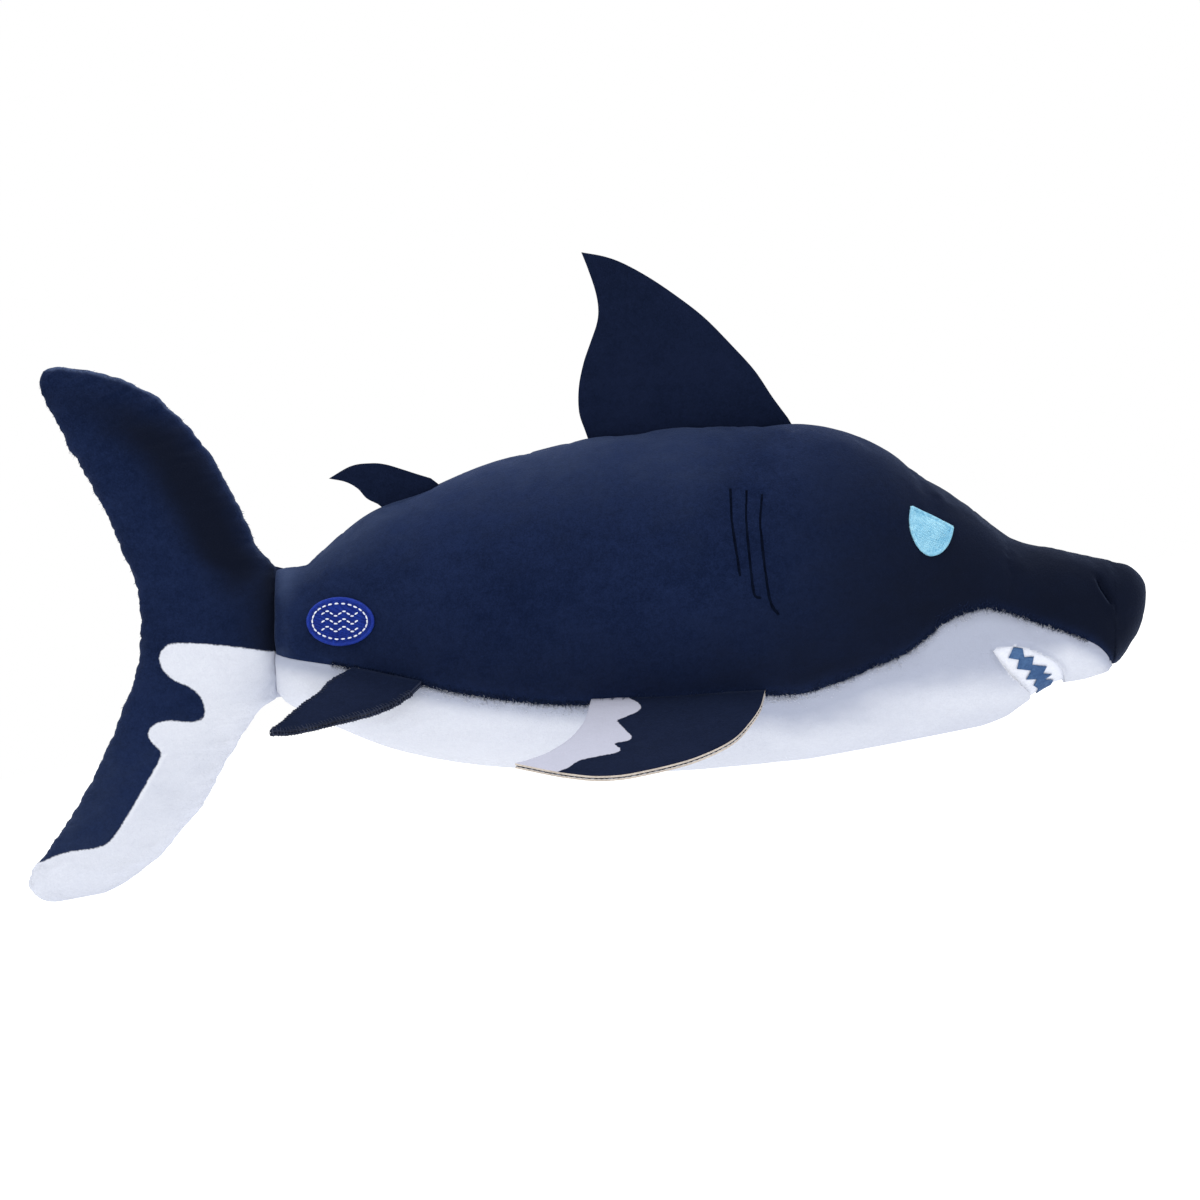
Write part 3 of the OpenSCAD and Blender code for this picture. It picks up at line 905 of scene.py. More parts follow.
@dataclass
class Trunk:
    """The stuffed trunk: two back covers and a belly cover over the stuffing."""

    kit: MeshKit
    # Sections along the trunk: x, top, bottom and half-width.
    sections: Table = field(default_factory=lambda: Table([
        [-141, 89.6, 32, 20], [-134, 88.6, 29, 22], [-127, 90.8, 26, 24], [-120, 97.2, 22, 26.4],
        [-112, 104.4, 18, 29], [-97, 115, 12, 34.2],
        [-79, 122, 7, 40], [-56, 133, 2.5, 46.2], [-29, 141, 0.3, 51.3], [0, 148, 0, 54.7],
        [42, 152, 0, 57], [90, 154.5, 3.5, 55.9], [112, 152, 6.5, 53], [130, 145, 9, 49],
        [149, 132, 12, 43.3], [168, 119, 16, 37.6], [186, 105, 22, 32.5], [196, 101, 28, 30.2],
        [208, 99, 36, 28], [223, 96, 40, 25.2], [232, 94, 44, 22.3], [235, 93, 46, 20.8],
        [242, 91, 55, 17.1], [247, 87, 64, 12], [249.5, 83, 72, 6.3], [250, 80, 78, 1.7]]))
    # Seam between back and belly: x, z.
    seam: Table = field(default_factory=lambda: Table([
        [-141, 51], [-123, 47.5], [-112, 45.5], [-78, 37.5], [-56, 33], [-13, 28.5], [40, 30.5],
        [77, 32.5], [94, 33.5], [112, 39], [126, 45], [140, 51], [149, 57.5], [158, 65], [173, 70],
        [182, 69.5], [204, 63.5], [218, 59], [227, 55], [232, 50.5], [235, 46]]))
    mouth: list = field(default_factory=lambda: [
        [179.4, 52.9], [182, 54], [188.8, 55], [192.9, 54.4], [197.5, 52.8], [200.6, 51.5],
        [204.7, 49.7], [208.8, 47], [211.4, 44], [213, 39.8], [214, 20], [199, 20],
        [197.3, 33.9], [194, 36.4], [189.8, 40.1], [184.6, 45.5]])
    zigzag: list = field(default_factory=lambda: [
        [188.8, 54.6], [192.9, 54], [193.7, 50.1], [198.1, 50.4], [197.4, 46.7], [204.2, 45.9],
        [202.7, 42.7], [206.8, 42.2], [203.7, 40.1], [207.8, 39.6], [206, 34], [206, 20],
        [201, 20], [200.9, 36], [198.6, 37.2], [199.9, 40.1], [194.9, 40], [197, 44.1],
        [190.5, 44.8], [191.4, 48.9], [186.6, 49.7]])
    nostril: list = field(default_factory=lambda: [
        [225, 83.4], [226.2, 80.5], [229, 76.3], [231, 73.2], [232.6, 70.8]])
    gills: list = field(default_factory=lambda: [
        [[62.3, 124.8], [62.8, 111.3], [63.7, 104.1], [64.8, 96.8], [66.3, 86.5]],
        [[69.4, 124], [69.2, 111.3], [70, 100.3], [71.3, 87.6], [72.3, 79.5], [73.4, 77], [75.4, 76.6]],
        [[76.3, 122.3], [75.4, 110.6], [76, 102], [77.5, 88.4], [78.9, 79], [80.4, 73.3], [83.2, 69.2]]])
    roundness: float = 2.2
    waist: float = 0.46
    seam_x: float = TAIL_HINGE[0]
    belly_end: float = 235.0
    nose_end: float = 250.0
    head_x: float = 172.0
    muzzle: tuple = (176.0, 226.0)
    fabric: float = 1.6
    felt_depth: float = 2.4
    felt_thick: float = 1.1
    zigzag_thick: float = 0.9
    cloth: Cloth = Cloth(spare=0.012, puff=1.6)
    back_cols: int = 44
    belly_cols: int = 40

    def stations(self) -> tuple[Points, Points]:
        """Section places: up to the belly's front end, and on to the nose.

        Returns:
            The two runs of x.
        """
        rear = np.linspace(self.seam_x, self.head_x, 150)[:-1]
        head = np.linspace(self.head_x, self.belly_end, 56)
        left = self.nose_end - self.belly_end
        nose = self.nose_end - left * (1 - np.linspace(0, 1, 22)[1:]) ** 2
        return np.concatenate([rear, head]), nose

    def rim(self, x: Points, angle: Points, side: Points | float) -> Points:
        """Points of the bare skin.

        Args:
            x: section places.
            angle: 90 at the back, 0 at the side, -90 at the belly.
            side: the sign of Y.

        Returns:
            Level points.
        """
        top, bottom, half = (self.sections.at(x, c) for c in (1, 2, 3))
        mid = bottom + self.waist * (top - bottom)
        a = np.radians(angle)
        height = np.where(angle > 0, top - mid, mid - bottom)
        power = 2 / self.roundness
        y = side * half * np.abs(np.cos(a)) ** power
        z = mid + height * np.sign(a) * np.abs(np.sin(a)) ** power
        return np.stack([np.broadcast_to(x, y.shape), y, z], -1)

    def seam_angle(self, x: Points) -> Points:
        """The angle of the belly seam.

        Args:
            x: section places.

        Returns:
            The angle at each, -90 past the belly's front end.
        """
        top, bottom = self.sections.at(x, 1), self.sections.at(x, 2)
        mid = bottom + self.waist * (top - bottom)
        drop = np.clip((mid - self.seam.at(np.minimum(x, self.belly_end), 1)) / (mid - bottom), -1, 1)
        angle = -np.degrees(np.arcsin(np.abs(drop) ** (self.roundness / 2))) * np.sign(drop)
        return np.where(x >= self.belly_end, -90.0, angle)

    def relief(self, p: Points) -> Points:
        """How far the stuffed skin stands out from the bare section.

        Args:
            p: level points on the skin.

        Returns:
            The relief, in millimetres.
        """
        x, z = p[..., 0], p[..., 2]
        side_view = p[..., [0, 2]]
        # The belly seam pulls in between two soft rolls, as far as the belly's front end.
        seam_gap = (z - self.seam.at(np.minimum(x, self.belly_end), 1)) * 0.8
        ahead = ramp(x - self.belly_end, 2)
        out = -1.5 * hump(seam_gap, 2.2) * (1 - ahead)
        out += 0.5 * hump(np.abs(seam_gap) - 6, 4) * (1 - ahead)
        # The spine seam pulls in too, less so under the dorsal fin.
        top_gap = np.abs(p[..., 1]) + np.where(z < 70, 99, 0)
        out += -0.5 * hump(top_gap, 1.6) * (1 - hump(x - 43, 60))
        # The tail seam, its roll and its puckers.
        run = x - self.seam_x
        out += -1.5 * hump(run, 2.4) + 1.3 * hump(run - 8, 6)
        around = np.degrees(np.arctan2(z - 60, p[..., 1]))
        out += 0.5 * np.sin(np.radians(around * 9)) * np.exp(-run / 9) * np.where(z < 56, 1, 0.35)
        belly_tuck = np.where(z < 50, 1, 0.25) * np.exp(-np.abs(run) / 40)
        # The firm forehead, the tucks of the belly's rear end, and the lumps of the stuffing.
        out += 0.9 * ramp(x - 120, 60) * ramp(z - 70, 20)
        out += 0.9 * np.sin((x * 0.9 + z * 0.35) / 4.2) * belly_tuck * hump(run - 16, 16)
        out += 0.8 * lumps(p, 46, SEED) + 0.35 * lumps(p, 19, SEED + 1) + 0.1 * lumps(p, 7, SEED + 2)
        # Stitching sinks into the pile along the gills, and pinches the nostril.
        for line in self.gills:
            out -= 1.5 * hump(edge_distance(side_view, smooth_path(line, 24), False), 3.0)
        ridge = smooth_path(self.nostril, 20)
        dent = ridge + np.array([2.3, 0.9])
        out += 0.9 * hump(edge_distance(side_view, ridge, False), 1.4)
        out -= 2.4 * hump(edge_distance(side_view, dent[:13], False), 1.7)
        return out + self.lip(side_view)

    def lip(self, side_view: Points) -> Points:
        """The rolled lip round the mouth.

        Args:
            side_view: level x and z.

        Returns:
            The lip's relief, in millimetres.
        """
        near = (side_view[..., 0] > 165) & (side_view[..., 0] < 232) & (side_view[..., 1] < 72)
        away = edge_distance(side_view, np.array(self.mouth, float))
        roll = 1.0 * hump(away - 3.2, 2.4) - 1.5 * hump(np.maximum(away, 0), 1.2)
        return np.where(near, roll, 0.0) * ramp(side_view[..., 1] - 38, 8)

    def nap(self, p: Points, navy: bool) -> Points:
        """Painted shade and painted highlights on a cover.

        Args:
            p: level points on the skin.
            navy: whether the cover is a back cover.

        Returns:
            Up to 1 for painted shade, and below 0 for a painted highlight.
        """
        x, z = p[..., 0], p[..., 2]
        over = z - self.seam.at(np.minimum(x, self.belly_end), 1)
        if not navy:
            # Painted shade on the white: under the snout, along the flank, and at and towards the seam;
            # painted highlight towards the bottom.
            front = ramp(x - 105, 40) * ramp(z - 30, 20)
            front = front * ramp(214 - x, 22)
            flank = 0.5 * hump(x - 95, 50) * ramp(z - 8, 20)
            lift = 0.6 * ramp(22 - z, 22)
            shade = 0.7 * hump(over, 6) + 0.35 * np.exp(over / 16) + 0.85 * front + flank
            return np.clip(shade, 0, 1) - lift
        # Painted shade on the navy: over the head, lower down and in the seam; painted highlights along the
        # spine and in a band by the tail end.
        head = ramp(x - 45, 115)
        low = ramp(92 - z, 60) * 0.55
        top, bottom = self.sections.at(x, 1), self.sections.at(x, 2)
        spine = np.clip((z - bottom) / (top - bottom) * 3.2 - 2.2, 0, 1)
        end = x - self.seam_x
        shade = low * (1 - head) + head * 0.85 - 0.5 * hump(over, 4)
        lit = 0.34 * spine * (1 - head * 0.6) * ramp(170 - x, 40) + 0.32 * hump(end - 4, 5)
        return np.clip(shade, 0, 1) * (1 - 0.8 * hump(end - 9, 6)) - lit

    def hem(self, outer: Points, inner: Points) -> tuple[Points, Points]:
        """Turns the tail end of a cover in, as its seam allowance.

        Args:
            outer: the outer grid, tail end first.
            inner: the inner grid.

        Returns:
            Both grids with a turned-in row.
        """
        inner = inner.copy()
        inner[0, :, 0] += 1.3
        inward = unit(outer[:1] * [0, 1, 1] - [0, 0, TAIL_HINGE[2]])
        tucked = outer[:1] - inward * 3.4
        return np.vstack([tucked - [0.4, 0, 0], outer]), np.vstack([tucked + [1.0, 0, 0], inner])

    def skin(self, x: Points, angle: Points, side: Points | float) -> tuple[Points, Points]:
        """The stuffed skin's grid and its normals.

        Args:
            x: section places, one row each.
            angle: angles, one column each.
            side: the sign of Y.

        Returns:
            Level points and outward normals.
        """
        bare = self.rim(x, angle, side)
        normals = grid_normals(bare)
        middle = np.stack([np.minimum(bare[..., 0], 225), bare[..., 1] * 0, bare[..., 2] * 0 + 78], -1)
        facing = np.sum(normals * (bare - middle), axis=-1, keepdims=True)
        normals *= np.where(np.median(facing) < 0, -1, 1)
        return bare + normals * self.relief(bare)[..., None], normals

    def back_angles(self, x: Points) -> Points:
        """Angles of a back cover's columns, from the spine to the belly seam."""
        share = np.linspace(0, 1, self.back_cols + 1)[None, :]
        return 90 - share * (90 - self.seam_angle(x)[:, None])

    def belly_angles(self, x: Points) -> tuple[Points, Points]:
        """Angles and sides of the belly cover's columns, from left seam to right seam.

        Args:
            x: section places.

        Returns:
            The angles and the signs of Y.
        """
        share = np.linspace(0, 1, self.belly_cols + 1)[None, :]
        half = self.seam_angle(x)[:, None] * (1 - share) - 90 * share
        angles = np.concatenate([half, half[:, -2::-1]], axis=1)
        sides = np.concatenate([np.ones(self.belly_cols + 1), -np.ones(self.belly_cols)])
        return angles, np.broadcast_to(sides[None, :], angles.shape)

    def back_cover(self, side: Side) -> Piece:
        """One half of the navy back.

        Args:
            side: which half.

        Returns:
            The piece.
        """
        rear, nose = self.stations()
        x = np.concatenate([rear, nose])
        outer, normals = self.skin(x[:, None], self.back_angles(x), side.value)
        outer = self.kit.stuffed(outer, side.value, self.cloth)
        inner = outer - normals * self.fabric
        tip = np.broadcast_to([self.nose_end + 0.4, 0, 79], outer[:1].shape)
        outer, inner = self.hem(np.vstack([outer, tip]), np.vstack([inner, tip - [2, 0, 0]]))
        name = f"back_cover_{side.name.lower()}"
        # Each point keeps its painted shade and highlight as a number.
        piece = self.kit.shell(name, self.kit.row(outer, 0.3), self.kit.row(inner, 1.5), NAVY_PLUSH,
                               nap=self.nap(outer, True))
        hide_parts(f"body_cover_{side.name.lower()}")
        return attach(piece, "trunk")

    def belly(self) -> Piece:
        """The white belly with the mouth cut in it.

        Returns:
            The piece.
        """
        x, _ = self.stations()
        x = x[:-1]
        angles, sides = self.belly_angles(x)
        outer, normals = self.skin(x[:, None], angles, sides)
        outer = self.kit.stuffed(outer, 1, self.cloth)
        inner = outer - normals * self.fabric
        tip = np.broadcast_to([self.belly_end, 0, 46], outer[:1].shape)
        outer, inner = self.hem(np.vstack([outer, tip]), np.vstack([inner, tip + [-1.5, 0, 1]]))
        # Each point keeps its painted shade and highlight as a number.
        piece = self.kit.shell("belly_plush", self.kit.row(outer, 0.3), self.kit.row(inner, 1.5), WHITE_PLUSH,
                               nap=self.nap(outer, False))
        self.kit.cut(piece, self.through(self.mouth, 0.0), "DIFFERENCE")
        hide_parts("belly_cover")
        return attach(piece, "trunk")

    def through(self, outline: list, grow: float) -> Piece:
        """An outline driven through the head from side to side, as a solid.

        Args:
            outline: level x and z.
            grow: how far it is widened from its middle.

        Returns:
            The solid, to cut with.
        """
        flat = np.array(outline, float)
        mid = flat.mean(axis=0)
        flat = flat + unit(flat - mid) * grow
        n = len(flat)
        level = np.array([[px, y, pz] for y in (-60.0, 60.0) for px, pz in flat])
        faces = [list(range(n)), list(range(2 * n - 1, n - 1, -1))]
        faces += [[i, (i + 1) % n, (i + 1) % n + n, i + n] for i in range(n)]
        return self.kit.mesh("cutter", self.kit.row(level, -99), faces, WHITE_FELT)

    def muzzle_layer(self, name: str, outline: list, grow: float, depth: float, thick: float,
                     finish: FeltFinish) -> Piece:
        """A felt shape that follows the muzzle, under its skin.

        Args:
            name: the piece's name.
            outline: level x and z of its cut.
            grow: how far the cut is widened.
            depth: how deep its face lies.
            thick: the felt's thickness.
            finish: its finish.

        Returns:
            The piece.
        """
        x = np.linspace(*self.muzzle, 64)
        angles, sides = self.belly_angles(x)
        bare = self.rim(x[:, None], angles, sides)
        normals = grid_normals(bare)
        normals *= math.copysign(1, np.median(np.sum(normals * (bare - [200, 0, 75]), axis=-1)))
        face = bare - normals * (depth - 0.25 * lumps(bare, 9, SEED + 5))[..., None]
        back = face - normals * thick
        piece = self.kit.shell(name, self.kit.row(face), self.kit.row(back), finish)
        self.kit.cut(piece, self.through(outline, grow), "INTERSECT")
        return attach(piece, "trunk")

    def felt(self) -> None:
        """The felt behind the mouth and the zigzag on it."""
        sheet = self.muzzle_layer("mouth_lining", self.mouth, 2.5, self.felt_depth, self.felt_thick,
                                  WHITE_FELT)
        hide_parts("mouth_felt")
        gap = self.muzzle_layer("teeth_gap", self.zigzag, 0.0, self.felt_depth - 0.7,
                                self.zigzag_thick, BLUE_FELT)
        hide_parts("mouth_zigzag")

    def stuffing(self) -> Piece:
        """The wadding inside, a lumpy solid under the covers.

        Returns:
            The piece.
        """
        x = np.linspace(self.seam_x + 5, self.nose_end - 6, 90)
        turn = np.linspace(90, -270, 49)
        angles = np.where(turn >= -90, turn, -180 - turn)[None, :] + 0 * x[:, None]
        sides = np.where(turn >= -90, 1.0, -1.0)[None, :] + 0 * x[:, None]
        ring = self.rim(x[:, None], angles, sides)
        middle = ring.mean(axis=1, keepdims=True)
        away = ring - middle
        reach = np.linalg.norm(away, axis=-1, keepdims=True)
        depth = 5.2 - 0.7 * lumps(ring, 12, SEED + 3)[..., None]
        fill = middle + away / reach * np.maximum(reach - depth, 0.4)
        ends = [np.broadcast_to(m, fill[:1].shape) for m in (middle[:1], middle[-1:])]
        fill = np.vstack([ends[0], fill, ends[1]])
        _, quads = grid_quads(*fill.shape[:2])
        points = self.kit.row(fill, 3.5).reshape(-1, 3)
        piece = self.kit.mesh("trunk_wadding", points, quads.tolist(), WADDING)
        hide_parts("body_stuffing")
        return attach(piece, "trunk")


@dataclass
class Tail:
    """The forked tail: two covers sewn round their edge over the stuffing."""

    kit: MeshKit
    trunk: Trunk
    # From the upper tip to the lower: front x and z, rear x and z, half-thickness.
    stations: list = field(default_factory=lambda: [
        [-245.8, 178.6, -246.6, 177.4, 0.8], [-243.4, 179.9, -247.6, 174.4, 2.2],
        [-237.5, 180.4, -247.4, 171.5, 3.6], [-224, 178.5, -246, 166.5, 5.2], [-206, 173, -241, 157, 7.5],
        [-187, 160, -233, 142, 10], [-169, 137.5, -224, 127, 12], [-158, 117.5, -216, 111, 13],
        [-150, 100, -210, 97, 14], [-141, 90, -205.5, 86, 14], [-141, 83, -203, 76, 14],
        [-141, 72, -202, 66, 14], [-141, 61, -202.5, 55, 14], [-141, 50, -204, 43, 14],
        [-141, 39, -207, 35, 14], [-141, 32, -210, 28, 14], [-148, 27, -214, 16, 14],
        [-155, 17.5, -219, 4, 13.5], [-163, 4.5, -226, -10, 13], [-172, -13, -235, -24, 12],
        [-183.5, -28, -243, -36, 11], [-197, -42.6, -250, -44.5, 9], [-209.5, -51.6, -252, -48.5, 7.2],
        [-220.5, -56.7, -252.3, -51.6, 5.6], [-231, -59.3, -251.6, -54.4, 4.2],
        [-238.5, -60.2, -249.4, -57.2, 2.6], [-243.6, -60.1, -246.6, -59.2, 0.8]])
    white_print: list = field(default_factory=lambda: [
        [-120, 52.5], [-141, 52.5], [-158, 54.5], [-175, 56], [-187, 56], [-191, 54], [-193, 50.5],
        [-192, 45.5], [-187, 40], [-180, 37], [-175, 33], [-172.5, 27.5], [-173, 23], [-176, 21],
        [-182, 21], [-189, 21.5], [-195, 20], [-198, 16], [-196.5, 12], [-192.5, 8],
        [-192.5, 5], [-195, 0], [-202, -12], [-207, -20.5], [-213, -30], [-217, -34], [-223, -36],
        [-232.5, -37.2], [-240.4, -39.5], [-245, -41.6], [-249, -42.6], [-262, -43], [-262, -80],
        [-120, -80]])
    rows: int = 290
    cols: int = 30
    fabric: float = 1.5
    neck: float = 0.84
    bend_run: float = 38.0
    cloth: Cloth = Cloth(spare=0.02, puff=1.8)

    def outline(self) -> tuple[Points, Points, Points, Points]:
        """The tail's rows, from the upper tip to the lower.

        Returns:
            Front edge, rear edge, half-thickness and whether each row meets the trunk.
        """
        table = np.array(self.stations, float)
        mid = (table[:, :2] + table[:, 2:4]) / 2
        run = distance_along(mid)
        share = np.linspace(0, 1, self.rows)
        ends = 0.5 - 0.5 * np.cos(math.pi * share)
        at = run[-1] * (0.75 * share + 0.25 * ends)
        spline = Table(np.column_stack([run, table]).tolist())
        cols = [spline.at(at, c) for c in range(1, 6)]
        front, rear = np.column_stack(cols[:2]), np.column_stack(cols[2:4])
        meets = np.abs(table[:, 0] - self.trunk.seam_x) < 0.5
        on_seam = (at >= run[meets].min()) & (at <= run[meets].max())
        front[on_seam, 0] = self.trunk.seam_x
        across = unit(front - rear)
        key = np.stack([at, at * 0, at * 0], -1)
        stitch = 0.08 * np.sin(at / 0.58) + 0.36 * lumps(key, 2.7, SEED + 15) + 0.4 * lumps(key, 9, SEED + 16)
        stitch *= np.clip(np.minimum(at, run[-1] - at) / 6, 0, 1)
        front += across * (stitch * ~on_seam)[:, None]
        rear -= across * np.roll(stitch, 7)[:, None]
        return front, rear, np.maximum(cols[4], 0.5), on_seam

    def spread(self) -> Points:
        """The columns' shares of the way from the front edge to the rear, closer at the edges."""
        return 0.5 - 0.5 * np.cos(math.pi * np.linspace(0, 1, self.cols + 1))[None, :]

    def half(self, inset: float) -> tuple[Points, Points]:
        """One cover's level grid on the side of +Y.

        Args:
            inset: how far its surface is drawn in.

        Returns:
            The grid, and how far each point lies from the trunk's seam.
        """
        front, rear, thick, on_seam = self.outline()
        v = self.spread()
        flat = front[:, None] * (1 - v[..., None]) + rear[:, None] * v[..., None]
        root = (self.neck * self.seam_half(front[:, 1]) * on_seam)[:, None]
        pillow = (4 * v * (1 - v)) ** 0.42 * thick[:, None]
        y = np.sqrt((root * (1 - v)) ** 2 + pillow**2)
        grid = np.stack([flat[..., 0], y, flat[..., 1]], -1)
        edge = np.minimum(v, 1 - v) * np.linalg.norm(rear - front, axis=1)[:, None]
        free = np.where((root > 0) & (v < 0.5), 0.0, 1.0)
        run = np.arange(self.rows)[:, None] * 1.1
        pucker = np.sin(run / 2.6 + 3.5 * lumps(grid, 17, SEED + 7)) * np.exp(-edge / 5) * free
        y = y + pucker * 0.55 * (edge > 0.2)
        crease = self.trunk.seam_x - grid[..., 0]
        y -= 1.6 * hump(crease, 5) * ramp(root, 8)
        y += (0.7 * lumps(grid, 34, SEED + 8) * ramp(edge, 12)
              + 0.2 * lumps(grid, 11, SEED + 9) * ramp(edge, 6))
        grid[..., 1] = np.maximum(y - inset, 0.12 if inset == 0 else 0.06)
        return grid, crease

    def tucked(self, grid: Points, deep: float) -> Points:
        """Adds the edge that is sewn inside the trunk's end, as a first column.

        Args:
            grid: a level grid of one cover.
            deep: how far it goes in.

        Returns:
            The wider grid.
        """
        *_, on_seam = self.outline()
        inside = grid[:, :1] * [1, 0.9, 1] + np.where(on_seam, deep, 0)[:, None, None] * [1, 0, 0]
        return np.concatenate([inside, grid], axis=1)

    def seam_half(self, z: Points) -> Points:
        """Half-width of the trunk's end.

        Args:
            z: level heights.

        Returns:
            The half-width at each.
        """
        end = np.array([self.trunk.seam_x])
        top, bottom, half = (float(self.trunk.sections.at(end, c)[0]) for c in (1, 2, 3))
        mid = bottom + self.trunk.waist * (top - bottom)
        height = np.where(z > mid, top - mid, mid - bottom)
        n = self.trunk.roundness
        return half * np.clip(1 - (np.abs(z - mid) / height) ** n, 0, 1) ** (1 / n)

    def bend(self, piece: Piece) -> None:
        """Bakes a piece's place into its points; the bend's start and end are worked out and not used.

        Args:
            piece: the finished piece.
        """
        first = np.array(TAIL_HINGE) - [2, 0, 0]
        start, end = self.kit.row(np.stack([first, first - [self.bend_run, 0, 0]]))
        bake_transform(piece)

    def nap(self, height: Points, crease: Points, printed: Points) -> Points:
        """Painted shade and painted highlights on a tail cover.

        Args:
            height: level heights, with the tucked edge as the first column.
            crease: how far each point but the tucked edge lies from the trunk's seam.
            printed: where the white print is.

        Returns:
            Up to 1 for painted shade, and below 0 for a painted highlight.
        """
        front, rear, *_ = self.outline()
        gap = self.spread() * np.linalg.norm(rear - front, axis=1)[:, None]
        gap, crease = (np.concatenate([g[:, :1], g], axis=1) for g in (gap, crease))
        # Painted shade in a band behind the upper lobe's front edge, and a painted highlight along the edge
        # itself.
        upper = ramp(height - 62, 30)
        crest = 0.95 * hump(gap - 16, 17) * ramp(180 - height, 30)
        crest = upper * (crest - 0.9 * hump(gap, 1.7))
        # Painted shadow beside the trunk's end seam.
        near = 1.1 * np.exp(-np.maximum(crease, 0) / 17) * ramp(height - 24, 8)
        near = near * ramp(112 - height, 30)
        # Off the print it is paler towards the bottom as painted highlight; on the print it is darker towards
        # the bottom.
        low = 0.2 * ramp(36 - height, 30)
        plain = np.maximum(near, crest) + np.minimum(crest, 0) - 1.2 * low
        return np.where(printed, 0.55 * near + low, plain)

    def cover(self, side: Side) -> Piece:
        """One printed cover.

        Args:
            side: which one.

        Returns:
            The piece.
        """
        outer, crease = self.half(0.0)
        flip = np.array([1, side.value, 1])
        outer = self.kit.stuffed(outer, -1, self.cloth)
        outer[..., 1] = np.maximum(outer[..., 1], 0.12)
        inner = outer - [0, self.fabric, 0]
        inner[..., 1] = np.maximum(inner[..., 1], 0.06)
        outer, inner = self.tucked(outer, 2.4), self.tucked(inner, 3.6)
        inside = -edge_distance(outer[..., [0, 2]], smooth_path(self.white_print, 400))
        name = f"tail_plush_{side.name.lower()}"
        # Each point keeps its painted shade and highlight as a number.
        piece = self.kit.shell(name, self.kit.row(outer * flip, 0.3), self.kit.row(inner * flip, 0.3),
                               PRINTED_PLUSH, print_mm=np.clip(inside, -9, 9),
                               nap=self.nap(outer[..., 2], crease, inside > 0))
        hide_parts(f"tail_cover_{side.name.lower()}")
        self.bend(piece)
        return piece

    def stuffing(self) -> Piece:
        """The tail's wadding.

        Returns:
            The piece.
        """
        grid, _ = self.half(self.fabric + 1.2)
        grid = grid[6:-6, 3:-3]
        lump = grid * 1.0
        lump[..., 1] = np.maximum(grid[..., 1] - 1.0, 0.3) + 0.3 * np.abs(lumps(grid, 9, SEED + 11))
        mirror = lump * np.array([1, -1, 1])
        piece = self.kit.shell("tail_wadding", self.kit.row(lump, 2.5), self.kit.row(mirror, 2.5), WADDING)
        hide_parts("tail_stuffing")
        self.bend(piece)
        return piece


# ---- fins


class Fold(Enum):
    """Which way a fin's edge was finished."""

    TURNED = "turned"
    CUT = "cut"
    OVERLOCKED = "overlocked"


RIM_FINISH = {Fold.TURNED: NAVY_EDGE, Fold.CUT: BACKING, Fold.OVERLOCKED: NAVY_EDGE}


